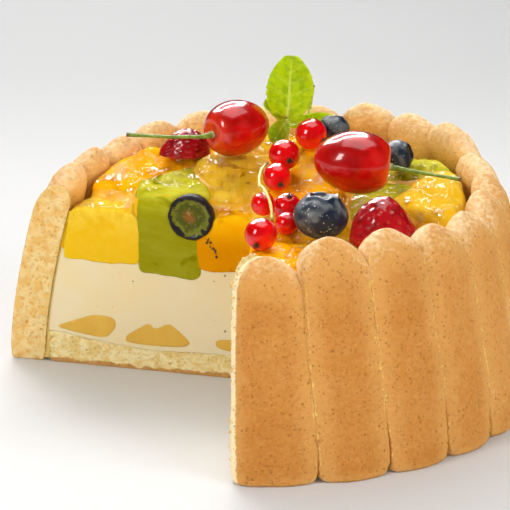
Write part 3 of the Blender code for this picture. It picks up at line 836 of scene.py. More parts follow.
@dataclass(frozen=True)
class FloorFinish(Finish):
    """A pale table, painted greyer towards the back."""

    colour: Colour = (0.67, 0.67, 0.67)
    # The greyer colour towards the back is painted shade.
    far: Colour = (0.47, 0.47, 0.475)
    painted_shade_from: float = 60.0
    painted_shade_to: float = 420.0

    def paint(self, tree: Tree, shader: bpy.types.Node, point: Socket) -> None:
        """Pale, and greyer towards the back: painted shade that evens out the pool of light from the lamp that
        hangs behind the cake.
        """
        place = tree.add("SeparateXYZ", {"Vector": point})
        colour = tree.mix(tree.band(place.outputs["Y"], self.painted_shade_from, self.painted_shade_to), self.colour, self.far)
        self.join(tree, shader, Base_Color=colour)


CRUST = CrustFinish("finger_crust", roughness=0.85, subsurface=0.12, scatter=(1.0, 0.45, 0.15), specular=0.12)
CRUMB = CrumbFinish("finger_crumb", roughness=0.9, subsurface=0.2, scatter=(1.0, 0.6, 0.25), specular=0.12)
SPONGE = CrumbFinish("sponge_crumb", roughness=0.9, subsurface=0.2, scatter=(1.0, 0.7, 0.35), specular=0.12,
                     crumb=(0.86, 0.63, 0.235), deep=(0.72, 0.46, 0.10), light=(0.95, 0.80, 0.44),
                     rim=(0.62, 0.32, 0.09), pore_scale=1.0)
CREAM = CreamFinish("set_cream", roughness=0.45, subsurface=0.2, scatter=(1.0, 0.8, 0.5), specular=0.2)
PEAR = FleshFinish("pear_flesh", roughness=0.4, scatter=(1.0, 0.7, 0.2), depth=0.002, specular=0.15, grain=0.25,
                   main=(0.69, 0.40, 0.060), streak=(0.76, 0.49, 0.090), deep=(0.62, 0.33, 0.040),
                   fibre=0.6, wrinkle=0.1, foot_share=0.0)
MANGO = FleshFinish("mango_flesh", scatter=(1.0, 0.30, 0.01), grain=0.22, turn=(60.0, 20.0, 0.0),
                    main=(0.98, 0.40, 0.0008), streak=(1.0, 0.60, 0.006), deep=(0.62, 0.215, 0.0004))
PINEAPPLE = FleshFinish("pineapple_flesh", scatter=(1.0, 0.55, 0.03), grain=0.5, turn=(70.0, 0.0, 20.0),
                        main=(0.77, 0.46, 0.010), streak=(0.88, 0.62, 0.070), deep=(0.82, 0.49, 0.010))
KIWI = FleshFinish("kiwi_flesh", scatter=(0.7, 0.8, 0.03), grain=0.30, turn=(0.0, 82.0, 12.0),
                   main=(0.45, 0.43, 0.004), streak=(0.70, 0.68, 0.07), deep=(0.22, 0.20, 0.001),
                   foot_share=0.75, foot_from=58.0, foot_to=46.0)
SYRUP = FleshFinish("soaked_syrup", roughness=0.4, coat=0.05, subsurface=0.4, scatter=(1.0, 0.4, 0.03),
                    depth=0.004, specular=0.04, main=(0.98, 0.47, 0.008), streak=(1.0, 0.58, 0.03),
                    deep=(0.90, 0.55, 0.16),
                    grain=0.3, foot_from=37.0, foot_to=33.0, foot_share=1.0)
CHERRY = SkinFinish("cherry_skin", roughness=0.25, coat=0.9, coat_roughness=0.10, subsurface=0.1, specular=0.2,
                    scatter=(1.0, 0.06, 0.03), main=(0.56, 0.004, 0.002), glow=(0.80, 0.05, 0.008),
                    dark=(0.36, 0.0015, 0.001), scale=0.14)
CURRANT = SkinFinish("currant_skin", roughness=0.2, coat=1.0, subsurface=0.4, scatter=(1.0, 0.03, 0.02),
                     depth=0.002, specular=0.2, main=(0.78, 0.002, 0.004), glow=(0.95, 0.012, 0.008),
                     dark=(0.58, 0.001, 0.003),
                     bumps=0.12)
STRAWBERRY = SkinFinish("strawberry_skin", roughness=0.25, coat=0.9, subsurface=0.2, scatter=(1.0, 0.05, 0.04),
                        specular=0.2, main=(0.44, 0.004, 0.010), glow=(0.66, 0.04, 0.02),
                        dark=(0.26, 0.002, 0.004),
                        mark=(0.42, 0.05, 0.02), scale=0.4, bumps=1.2)
BLUEBERRY = BloomFinish("blueberry_skin", roughness=0.4, coat=0.2, coat_roughness=0.2, specular=0.3)
HALF_BERRY = HalfBerryFinish("blueberry_cut", roughness=0.35, coat=0.12, subsurface=0.1, specular=0.1)
LEAF = LeafFinish("mint_leaf", roughness=0.4, subsurface=0.6, scatter=(0.7, 1.0, 0.04), depth=0.0015,
                  specular=0.2)
STEM = StemFinish("cherry_stem", roughness=0.45, specular=0.3)
GREEN_STALK = StemFinish("green_stalk", roughness=0.45, specular=0.3, main=(0.40, 0.50, 0.06),
                         start=(0.45, 0.5, 0.08),
                         end=(0.22, 0.20, 0.04))
CURRANT_STALK = StemFinish("currant_stalk_skin", roughness=0.4, specular=0.3, main=(0.62, 0.56, 0.16),
                           start=(0.20, 0.06, 0.02), end=(0.30, 0.26, 0.05))
TUFT = StemFinish("berry_tuft", roughness=0.7, main=(0.055, 0.028, 0.012), start=(0.10, 0.05, 0.02),
                  end=(0.03, 0.016, 0.008))
GLAZE = FilmFinish("clear_glaze", roughness=0.05)
TABLE = FloorFinish("table_top", roughness=0.7, specular=0.05)


def settle(piece: bpy.types.Object, slot: str, *nodes: str) -> bpy.types.Object:
    """Hangs a piece on the cake and hides the nodes that it replaces.

    Args:
        piece: The piece, in place.
        slot: A material slot, which is not used.
        *nodes: The nodes that it replaces.

    Returns:
        The piece.
    """
    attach(piece, "root")
    if nodes:
        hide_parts(*nodes)
    LOG.info("%s: %d faces", piece.name, len(piece.data.polygons))
    return piece


def dress(node: str, surface: Surface, finish: Finish, slot: str) -> bpy.types.Object:
    """Makes a surface the finished piece that stands for a node, and returns it."""
    return settle(surface.to_object(node + "_look", finish.make()), slot, node)


@dataclass
class FingerGrid:
    """A finger's grid of points before they are placed: each point's height and share of the section.

    Attributes:
        centre: The finger's azimuth.
        crown: The height of its crown.
        beside_slice: Whether a knife has shaved its near side.
        is_cut: Whether it is cut through its middle, so that its near half is gone.
        height: The height of each point.
        share: How wide its ring is, as a share of the full section.
        across: Where it lies in a full section, from the near side, -1, to the far side.
        outwards: How far out it lies in a full section, -1 to 1.
    """

    centre: float
    crown: float
    beside_slice: bool
    is_cut: bool
    height: np.ndarray
    share: np.ndarray
    across: np.ndarray
    outwards: np.ndarray

    @property
    def wide(self) -> np.ndarray:
        """Where each point lies across the finger."""
        return self.across * self.share

    @property
    def out(self) -> np.ndarray:
        """How far out each point lies."""
        return self.outwards * self.share

    @property
    def facing_out(self) -> np.ndarray:
        """1 on the finger's back, -1 on its inner face."""
        return self.out / np.maximum(self.share, 0.05)

    @property
    def flat(self) -> np.ndarray:
        """Whether each point lies on the face where the finger is cut."""
        return (self.across == 0.0) & self.is_cut


@dataclass
class FingerWall:
    """The ring of sponge fingers, leaning in towards their crowns and grown together at their sides."""

    foot_radius: float = 0.0742
    crown_radius: float = 0.0632
    half_thickness: float = 0.0059
    lean_power: float = 1.6
    dome: float = 0.0088
    foot_rounding: float = 0.0045
    foot_share: float = 0.74
    flat_sides: float = 0.66
    flat_faces: float = 0.78
    foot_lean: float = 3.2
    widening: float = 1.20
    foot_crack: float = 0.10
    valley: float = 0.76
    hump_power: float = 0.85
    relief_depth: float = 0.0006
    relief: tuple[tuple[float, float, int], ...] = (
        (0.00040, 0.017, 1), (0.00020, 0.0055, 3), (0.00011, 0.0016, 1),
    )
    seam_ridge: float = 0.0003
    pale_sides: float = 0.36
    # How much paler the fingers on the right and at the back are: painted light from the right and from behind.
    painted_light_right: float = 0.30
    painted_backlight: float = 0.75
    sides: int = 76
    cut_columns: int = 34
    wall_rows: int = 66
    fingers: tuple[tuple[float, float], ...] = (
        (0.3, 0.0597), (15.4, 0.0645), (30.6, 0.0648), (45.6, 0.0629), (59.8, 0.0627), (73.9, 0.0643),
        (88.2, 0.0646), (102.9, 0.0661), (118.6, 0.0712), (134.4, 0.0704), (149.6, 0.0710), (165.1, 0.0685),
        (181.6, 0.0675), (197.4, 0.0669), (210.7, 0.0653), (223.0, 0.0628), (234.2, 0.0619), (244.8, 0.0599),
    )
    cut_finger: tuple[float, float] = (254.9, 0.0560)
    knife_side: float = 0.55
    notch_height: float = 0.0168
    notch_depth: float = 0.0011
    noise: Noise = field(default_factory=lambda: Noise(11))
    torn: np.ndarray = field(default_factory=lambda: np.zeros((0, 3)))
    shaved: np.ndarray = field(default_factory=lambda: np.zeros((0, 3)))

    def middle(self, height: np.ndarray, crown: float) -> np.ndarray:
        """The distance from the axis of a finger's middle at a height."""
        lean = (height / crown) ** self.lean_power
        return self.foot_radius - (self.foot_radius - self.crown_radius) * lean

    def stations(self, crown: float) -> tuple[np.ndarray, np.ndarray]:
        """The heights of the rings of points and their share of the full section."""
        turn = np.radians(np.linspace(0.0, 90.0, 9))[1:]
        foot_height = self.foot_rounding * (1.0 - np.cos(turn))
        foot_share = self.foot_share + (1.0 - self.foot_share) * np.sin(turn)
        top = crown - self.dome
        wall = np.linspace(self.foot_rounding, top, self.wall_rows)[1:]
        bend = np.radians(np.linspace(0.0, 90.0, 25))[1:]
        heights = [np.zeros(6), foot_height, wall, top + self.dome * np.sin(bend)]
        shares = [np.linspace(0.0, self.foot_share, 6), foot_share, np.ones(len(wall)), np.cos(bend)]
        return np.concatenate(heights), np.concatenate(shares)

    def section(self, is_cut: bool) -> tuple[np.ndarray, np.ndarray]:
        """Points evenly round a finger's section, as shares across and outwards.

        Args:
            is_cut: Whether the finger is cut through its middle.

        Returns:
            Two arrays, running round the section once.
        """
        turn = np.linspace(0.5, 1.5, 1200) * math.pi if is_cut else np.linspace(0.0, 2.0, 2400) * math.pi
        across = signed_power(np.cos(turn), self.flat_sides)
        outwards = signed_power(np.sin(turn), self.flat_faces)
        step = np.hypot(np.diff(across) * 1.6, np.diff(outwards))
        length = np.concatenate([[0.0], np.cumsum(step)])
        count = self.sides // 2 if is_cut else self.sides
        wanted = np.linspace(0.0, length[-1], count, endpoint=is_cut)
        across = np.interp(wanted, length, across)
        outwards = np.interp(wanted, length, outwards)
        return self.with_cut(across, outwards) if is_cut else (across, outwards)

    def valleyed(self, across: np.ndarray, outwards: np.ndarray) -> np.ndarray:
        """The outer side's shares outwards, level where two fingers meet so that they grow into each other."""
        part = np.abs(across) * self.widening
        bow = np.cos(np.clip(part, 0.0, 1.0) * math.pi / 2.0) ** self.hump_power
        hump = self.valley + (1.0 - self.valley) * bow
        beyond = np.clip((part - 1.0) / (self.widening - 1.0), 0.0, 1.0)
        return np.where(outwards > 0, hump * np.sqrt(1.0 - beyond * beyond), outwards)

    def with_cut(self, across: np.ndarray, outwards: np.ndarray) -> tuple[np.ndarray, np.ndarray]:
        """A half section closed by a straight line of points along the knife's cut."""
        line = np.linspace(-1.0, 1.0, self.cut_columns + 2)[1:-1]
        return np.concatenate([across, np.zeros(len(line))]), np.concatenate([outwards, line])

    def border(self, azimuth: float, height: np.ndarray) -> np.ndarray:
        """The azimuth at each height where two fingers meet."""
        at = np.stack([height, np.full_like(height, azimuth * MM), np.zeros_like(height)], axis=1)
        wander = 0.55 * self.noise.at(at, 0.021) + 0.26 * self.noise.at(at + 3.1, 0.0034)
        return azimuth + wander + 0.16 * self.noise.at(at + 5.3, 0.0013)

    def finger(self, centre: float, crown: float, before: float, after: float, is_cut: bool) -> Surface:
        """One finger with its uneven skin.

        Args:
            centre: Its azimuth.
            crown: The height of its crown.
            before: The azimuth where the finger before meets it.
            after: The azimuth where the next one does.
            is_cut: Whether it is cut through its middle, so that its near half is gone.

        Returns:
            A closed surface with the values that marks lists.
        """
        heights, shares = self.stations(crown)
        across, outwards = self.section(is_cut)
        beside_slice = before == SLICE_TO
        meets = ((across > 0) | (not beside_slice)) & (np.abs(across) > 0)
        outwards = np.where(meets, self.valleyed(across, outwards), outwards)
        grid = FingerGrid(
            centre, crown, beside_slice, is_cut,
            height=np.repeat(heights, len(across)), share=np.repeat(shares, len(across)),
            across=np.tile(across, len(heights)), outwards=np.tile(outwards, len(heights)),
        )
        radius = self.middle(grid.height, crown) + self.half_thickness * grid.out
        points = around(self.azimuths(grid, before, after), radius, grid.height)
        faces = grid_faces(len(heights), len(across), closed=True)[:, ::-1]
        surface = Surface(points, faces, self.marks(grid))
        surface.values["relief"] = self.skin_relief(grid, points, surface.values["seam"])
        surface = surface.welded()
        surface.push(surface.values.pop("relief"))
        surface.points[:, 2] = np.maximum(surface.points[:, 2], 0.0)
        return surface

    def fused(self, grid: FingerGrid) -> np.ndarray:
        """How far each point reaches on the way to the next finger, 1 being level with the border."""
        fused = self.widening - self.foot_crack * smooth_step(grid.height, 0.026, 0.002)
        return np.where(grid.beside_slice & (grid.wide < 0), 1.0, fused)

    def azimuths(self, grid: FingerGrid, before: float, after: float) -> np.ndarray:
        """The azimuth of each point of a finger.

        Args:
            grid: The finger's grid.
            before: The azimuth where the finger before meets it, or SLICE_TO.
            after: The azimuth where the next one does.

        Returns:
            Degrees for each point.
        """
        wide = grid.wide
        low = np.full_like(wide, before) if grid.beside_slice else self.border(before, grid.height)
        high = self.border(after, grid.height)
        if grid.beside_slice:
            wide = np.where(wide < 0, signed_power(wide, self.knife_side), wide)
        reach = np.where(wide > 0, high - grid.centre, grid.centre - low) * self.fused(grid)
        azimuth = grid.centre + wide * reach
        towards_front = np.maximum(0.0, np.cos(np.radians(azimuth)))
        lean = self.foot_lean * towards_front * (1.0 - grid.height / grid.crown)
        return azimuth + (lean * np.clip(1.0 + wide, 0.0, 1.0) if grid.beside_slice else lean)

    def marks(self, grid: FingerGrid) -> dict[str, np.ndarray]:
        """How each point of a finger is finished.

        Args:
            grid: The finger's grid.

        Returns:
            The values bake, seam, inner, knife, rim and cut, bake holding painted light as well as the
            browning.
        """
        crown = grid.crown
        edge = np.abs(grid.across)
        top = smooth_step(grid.height, crown - 1.6 * self.dome, crown - 0.1 * self.dome)
        above_foot = smooth_step(np.clip(grid.height / crown, 0.0, 1.0), -0.05, 0.06)
        border = np.minimum(edge * self.widening, 1.0)
        paler = self.pale_sides * smooth_step(border, 0.35, 1.0)
        front = smooth_step(grid.facing_out, -0.10, 0.75) * (0.78 - paler)
        # The fingers on the right and at the back are made paler: painted light for the light that falls on
        # them from the right and from behind.
        front *= 1.0 - self.painted_light_right * smooth_step(grid.centre, 25.0, 66.0)
        front *= 1.0 - self.painted_backlight * smooth_step(grid.centre, 90.0, 120.0)
        seam = np.exp(-((edge * self.fused(grid) - 0.985) / 0.045) ** 2)
        shaved = grid.beside_slice * (grid.across < 0)
        inner = smooth_step(grid.facing_out, 0.05, -0.75) * (1.0 - 0.8 * top)
        rim = smooth_step(np.abs(grid.out) / np.maximum(grid.share, 0.02), 0.86, 1.0)
        return {
            # Paler towards the crown: partly paler baking, partly a painted highlight on the backlit crowns.
            "bake_and_light": front * (1.0 - 0.70 * top) * above_foot,
            "seam": seam * smooth_step(grid.facing_out, 0.1, 0.4),
            "inner": inner * (1.0 - shaved * smooth_step(edge, 0.1, 0.4)),
            "knife": shaved * smooth_step(edge, 0.62, 0.90),
            "rim": np.where(grid.flat, rim, 1.0),
            "cut": grid.flat.astype(float),
        }

    def skin_relief(self, grid: FingerGrid, points: np.ndarray, seam: np.ndarray) -> np.ndarray:
        """How far each point of a finger is pushed outwards.

        Args:
            grid: The finger's grid.
            points: The points, in place.
            seam: How near each is to the seam.

        Returns:
            The uneven baked skin, and the open crumb where the finger is cut.
        """
        relief = sum(depth * self.noise.octaves(points, size, count) for depth, size, count in self.relief)
        relief += self.seam_ridge * seam * (0.6 + self.noise.octaves(points, 0.0024, 2))
        at_pole = np.clip(grid.share * 2.0, 0.0, 1.0)
        relief = (relief - self.relief_depth) * at_pole * smooth_step(grid.height, 0.0, 0.003)
        if not grid.is_cut:
            return relief
        notch = np.exp(-((grid.height - self.notch_height) / 0.0011) ** 2) * (grid.facing_out > 0.3)
        relief -= self.notch_depth * notch
        holes = self.noise.pits(points, 0.0023, 0.46) + 0.5 * self.noise.pits(points + 1.0, 0.0012, 0.42)
        tears = np.maximum(0.0, self.noise.octaves(points, 0.0042, 2))
        return np.where(grid.flat, -0.00055 * holes - 0.0005 * tears, relief)

    def build(self) -> None:
        """Makes the fingers, each in its node's place."""
        rows = self.fingers + (self.cut_finger,)
        for index, (centre, crown) in enumerate(rows):
            before = (rows[index - 1][0] + centre) / 2 if index else SLICE_TO
            is_cut = index == len(self.fingers)
            after = centre + 5.0 if is_cut else (rows[index + 1][0] + centre) / 2
            surface = self.finger(centre, crown, before, after, is_cut)
            if index == 0:
                self.find_torn_places(surface)
            name = "finger_cut" if is_cut else "finger_%02d" % (index + 1)
            piece = dress(name, surface, CRUST, "finger")
            if is_cut:
                self.dress_cut(piece, surface)

    def find_torn_places(self, surface: Surface) -> None:
        """Notes where the finger beside the missing slice is torn, for the crumbs that hang there."""
        x, y, height = surface.points.T
        azimuth = np.degrees(np.arctan2(x, -y))
        inner = np.hypot(x, y) < self.middle(height, self.fingers[0][1])
        self.torn = surface.points[inner & (azimuth < -2.5) & (height > 0.0475)]
        on_knife = (surface.values["knife"] > 0.6) & (height > 0.004) & (np.hypot(x, y) < 0.0765)
        self.shaved = surface.points[on_knife]

    @staticmethod
    def dress_cut(piece: bpy.types.Object, surface: Surface) -> None:
        """Gives the cut face of a finger its crumb."""
        piece.data.materials.append(CRUMB.make())
        cut = surface.values["cut"]
        for face in piece.data.polygons:
            if all(cut[corner] > 0.5 for corner in face.vertices):
                face.material_index = 1


@dataclass
class Wedge:
    """A layer turned round the axis, from one cut face to the other, with finely meshed cut faces.

    Attributes:
        top: The height of its top at each distance from the axis.
        bottom: The height of its underside.
        outer: The distance from the axis of its outer face at each height.
    """

    top: Callable[[np.ndarray], np.ndarray]
    bottom: Callable[[np.ndarray], np.ndarray]
    outer: Callable[[np.ndarray], np.ndarray]
    columns: int
    rows: int
    turns: int = 44

    def section(self) -> np.ndarray:
        """The grid of points of a cut face, as distance from the axis and height."""
        share = np.linspace(0.0, 1.0, self.columns)[:, None]
        level = np.linspace(0.0, 1.0, self.rows)[None, :]
        widest = self.outer(np.zeros(1))[0]
        radius = np.broadcast_to(share * widest, (self.columns, self.rows))
        for _ in range(3):
            height = self.bottom(radius) + (self.top(radius) - self.bottom(radius)) * level
            radius = share * self.outer(height)
        return np.stack([radius, height], axis=-1)

    def build(self) -> Surface:
        """Makes the closed layer, with the value cut inside its cut faces."""
        section = self.section()
        last = self.rows - 1
        rim = np.concatenate([section[:, 0], section[-1, 1:], section[::-1, last][1:]])
        azimuths = np.linspace(SLICE_TO, SLICE_FROM + 360.0, self.turns)
        loops = around(azimuths[:, None], rim[None, :, 0], rim[None, :, 1]).reshape(-1, 3)
        shell = Surface(loops, grid_faces(self.turns, len(rim)))
        flat = section.reshape(-1, 2)
        faces = grid_faces(self.columns, self.rows)
        first = Surface(around(SLICE_TO, flat[:, 0], flat[:, 1]), faces[:, ::-1])
        second = Surface(around(SLICE_FROM, flat[:, 0], flat[:, 1]), faces)
        whole = shell.joined(first).joined(second)
        inside = np.ones(section.shape[:2])
        inside[:, 0] = inside[:, -1] = inside[-1] = 0.0
        whole.values["cut"] = np.concatenate([np.zeros(len(loops)), inside.reshape(-1), inside.reshape(-1)])
        return whole.welded()


@dataclass
class Layers:
    """The thin sponge base, the set cream on it and the pieces of pear in the cream."""

    wall: FingerWall
    base_radius: float = 0.0671
    base_top: tuple[tuple[float, float], ...] = (
        (0.0, 0.0071), (0.0200, 0.0070), (0.0356, 0.0064), (0.0485, 0.0076), (0.0589, 0.0090),
        (0.0650, 0.0098),
    )
    cream_top: float = 0.0342
    cream_lip: float = 0.0022
    seam_recess: float = 0.25
    seam_top: float = 0.0480
    seam_inner: float = 0.0585
    gap: float = 0.0003
    pear_depth: float = 0.010
    pear_proud: float = 0.00012
    pear_levels: tuple[tuple[float, float], ...] = (
        (0.0, 0.0), (0.35, 0.0), (0.65, 0.0), (0.85, 0.0), (0.95, 0.02), (1.0, 0.12), (1.0, 1.0), (0.7, 1.15),
    )
    pears: tuple[tuple[str, float, tuple[tuple[float, float], ...]], ...] = (
        ("pear_1", SLICE_FROM, ((0.0660, 0.0112), (0.0590, 0.0096), (0.0486, 0.0084), (0.0455, 0.0122),
                                (0.0452, 0.0150), (0.0474, 0.0162), (0.0534, 0.0164), (0.0614, 0.0132))),
        ("pear_2", SLICE_FROM, ((0.0440, 0.0080), (0.0440, 0.0102), (0.0406, 0.0123), (0.0358, 0.0156),
                                (0.0336, 0.0133), (0.0286, 0.0162), (0.0258, 0.0138), (0.0214, 0.0098),
                                (0.0240, 0.0079), (0.0356, 0.0074))),
        ("pear_3", SLICE_FROM, ((0.0156, 0.0116), (0.0098, 0.0124), (0.0045, 0.0120), (0.0040, 0.0081),
                                (0.0098, 0.0080), (0.0150, 0.0090))),
        ("pear_4", SLICE_TO, ((0.0540, 0.0098), (0.0530, 0.0140), (0.0460, 0.0166), (0.0390, 0.0138),
                              (0.0350, 0.0096), (0.0420, 0.0084))),
    )
    noise: Noise = field(default_factory=lambda: Noise(23))

    def base_height(self, radius: np.ndarray) -> np.ndarray:
        """The height of the base's top at a distance from the axis."""
        given = np.array(self.base_top)
        return np.interp(radius, given[:, 0], given[:, 1])

    def inside(self, height: np.ndarray) -> np.ndarray:
        """The distance from the axis of the fingers' inner faces."""
        return self.wall.middle(height, self.wall.cut_finger[1]) - self.wall.half_thickness - self.gap

    def build_base(self) -> None:
        """Makes the sponge base."""
        edge = 0.0012

        def rounded(height: np.ndarray) -> np.ndarray:
            low = np.clip((edge - height) / edge, 0.0, 1.0)
            return self.base_radius - edge * (1.0 - np.sqrt(1.0 - low * low))

        layer = Wedge(self.base_height, lambda radius: np.zeros_like(radius), rounded, columns=190, rows=30)
        surface = layer.build()
        height = surface.points[:, 2]
        uneven = 0.0012 * self.noise.octaves(surface.points, 0.004, 2)
        surface.values["rim"] = smooth_step(height + uneven, 0.0022, 0.0002)
        holes = self.noise.pits(surface.points, 0.0016, 0.45)
        holes += 0.6 * self.noise.pits(surface.points + 1.0, 0.0009, 0.45)
        uneven = -0.00040 * holes + 0.00015 * self.noise.at(surface.points, 0.003)
        surface.push(surface.values.pop("cut") * uneven)
        surface.points[:, 2] = np.maximum(surface.points[:, 2], 0.0)
        dress("sponge_base", surface, SPONGE, "sponge")

    def build_cream(self) -> None:
        """Makes the cream."""
        layer = Wedge(
            lambda radius: self.cream_top + self.cream_lip * smooth_step(radius, 0.0575, 0.0612),
            lambda radius: self.base_height(radius) + 0.05 * self.gap,
            lambda height: np.minimum(self.inside(height), self.base_radius),
            columns=150, rows=56,
        )
        surface = layer.build()
        holes = self.noise.pits(surface.points, 0.0042, 0.10)
        drag = 0.00008 * self.noise.at(surface.points * (0.3, 0.3, 1.0), 0.004)
        surface.push(surface.values.pop("cut") * (-0.00025 * holes + drag))
        dress("cream", surface, CREAM, "cream")

    def build_pears(self) -> None:
        """Makes each piece of pear as a low cushion whose flat face lies in the cut."""
        for name, azimuth, outline in self.pears:
            corners = [(radius, height, 0.0) for radius, height in outline]
            loop = rounded_outline(np.array(corners), 3)
            middle = loop.mean(axis=0)
            rings = []
            for share, depth in self.pear_levels:
                flat = middle + (loop - middle) * share
                sunk = self.pear_depth * depth - self.pear_proud
                rings.append(around(azimuth, flat[:, 0], flat[:, 1]) + into_cake(azimuth) * sunk)
            rings.append(np.broadcast_to(rings[-1].mean(axis=0), rings[-1].shape))
            surface = Surface(np.concatenate(rings), grid_faces(len(rings), len(loop), closed=True)).welded()
            dress(name, surface.turned_out(), PEAR, "pear")

    def build_seam(self) -> None:
        """Makes the thin line of syrup that has soaked down between the fingers and the layers."""
        height = np.linspace(0.0008, self.seam_top, 80)
        fruit = smooth_step(height, self.cream_top + 0.0005, self.cream_top + self.cream_lip + 0.0005)
        inner = np.minimum(self.inside(height), self.base_radius) - 0.0005
        inner += (self.seam_inner - inner) * fruit
        outer = self.inside(height) + 0.0006 + 0.0022 * smooth_step(height, 0.004, 0.0)
        radius = np.concatenate([inner, outer[::-1]])
        level = np.concatenate([height, height[::-1]])
        azimuths = np.linspace(SLICE_TO + self.seam_recess, SLICE_FROM + 360.0 - self.seam_recess, 64)
        points = around(azimuths[:, None], radius[None, :], level[None, :]).reshape(-1, 3)
        sweep = grid_faces(len(azimuths), len(radius), closed=True)
        low = np.arange(len(height) - 1)
        cap = np.stack([low, low + 1, len(radius) - 2 - low, len(radius) - 1 - low], axis=1)
        last = cap[:, ::-1] + (len(azimuths) - 1) * len(radius)
        seam = Surface(points, np.concatenate([sweep, cap, last])).turned_out()
        settle(seam.to_object("syrup_seam", SYRUP.make()), "mango")

    def build(self) -> None:
        """Makes all the layers."""
        self.build_base()
        self.build_cream()
        self.build_pears()
        self.build_seam()


@dataclass
class Crumbs:
    """The crumbs that hang on the torn finger, and the dark bits of skin below the half berry."""

    wall: FingerWall
    torn_count: int = 150
    shaved_count: int = 130
    torn_size: tuple[float, float] = (0.00030, 0.00110)
    shaved_size: tuple[float, float] = (0.00015, 0.00045)
    bit_count: int = 16
    bit_size: tuple[float, float] = (0.00022, 0.00050)
    bit_proud: float = 0.0005
    bits_from: tuple[float, float] = (0.0178, 0.0436)
    bits_to: tuple[float, float] = (0.0146, 0.0388)
    noise: Noise = field(default_factory=lambda: Noise(83))
    draw: np.random.Generator = field(default_factory=lambda: np.random.default_rng(83))

    def scatter(self, places: np.ndarray, sizes: tuple[float, float]) -> Surface:
        """A lumpy little crumb at each place.

        Args:
            places: Their middles.
            sizes: The least and the greatest radius.

        Returns:
            All of them as one surface.
        """
        crumbs = []
        for place in places:
            crumb = ball(7, 9)
            stretch = self.draw.uniform(0.6, 1.2, 3)
            lumps = 1.0 + 0.5 * self.noise.at(crumb.points + 9.0 * self.draw.random(3), 0.9)
            size = self.draw.uniform(*sizes)
            crumb.points = crumb.points * stretch * lumps[:, None] * size + place
            crumbs.append(crumb)
        return functools.reduce(Surface.joined, crumbs)

    def build(self) -> None:
        """Makes the crumbs and the bits."""
        torn = self.draw.choice(self.wall.torn, self.torn_count)
        shaved = self.draw.choice(self.wall.shaved, self.shaved_count)
        crumbs = self.scatter(torn, self.torn_size).joined(self.scatter(shaved, self.shaved_size))
        settle(crumbs.to_object("loose_crumbs", CRUMB.make()), "finger")
        share = np.linspace(0.0, 1.0, self.bit_count)
        along = self.bits_from[0] + (self.bits_to[0] - self.bits_from[0]) * share
        height = self.bits_from[1] + (self.bits_to[1] - self.bits_from[1]) * share
        spread = self.draw.normal(0.0, 0.0006, (2, self.bit_count))
        places = around(SLICE_FROM, along + spread[0], height + spread[1])
        places = places - into_cake(SLICE_FROM) * self.bit_proud
        settle(self.scatter(places, self.bit_size).to_object("berry_bits", TUFT.make()), "blueberry_half")


def rounded_outline(points: np.ndarray, rounds: int) -> np.ndarray:
    """A closed outline with its corners cut, which rounds them.

    Args:
        points: The corners, in order.
        rounds: How often each corner is cut.

    Returns:
        The rounded outline's points.
    """
    for _ in range(rounds):
        after = np.roll(points, -1, axis=0)
        near = points * 0.80 + after * 0.20
        far = points * 0.20 + after * 0.80
        points = np.stack([near, far], axis=1).reshape(-1, points.shape[1])
    return points


@dataclass(frozen=True)
class Fruit:
    """How the cut pieces of one kind of fruit are finished, and how high their soft lumps are."""

    finish: Finish
    lumps: float


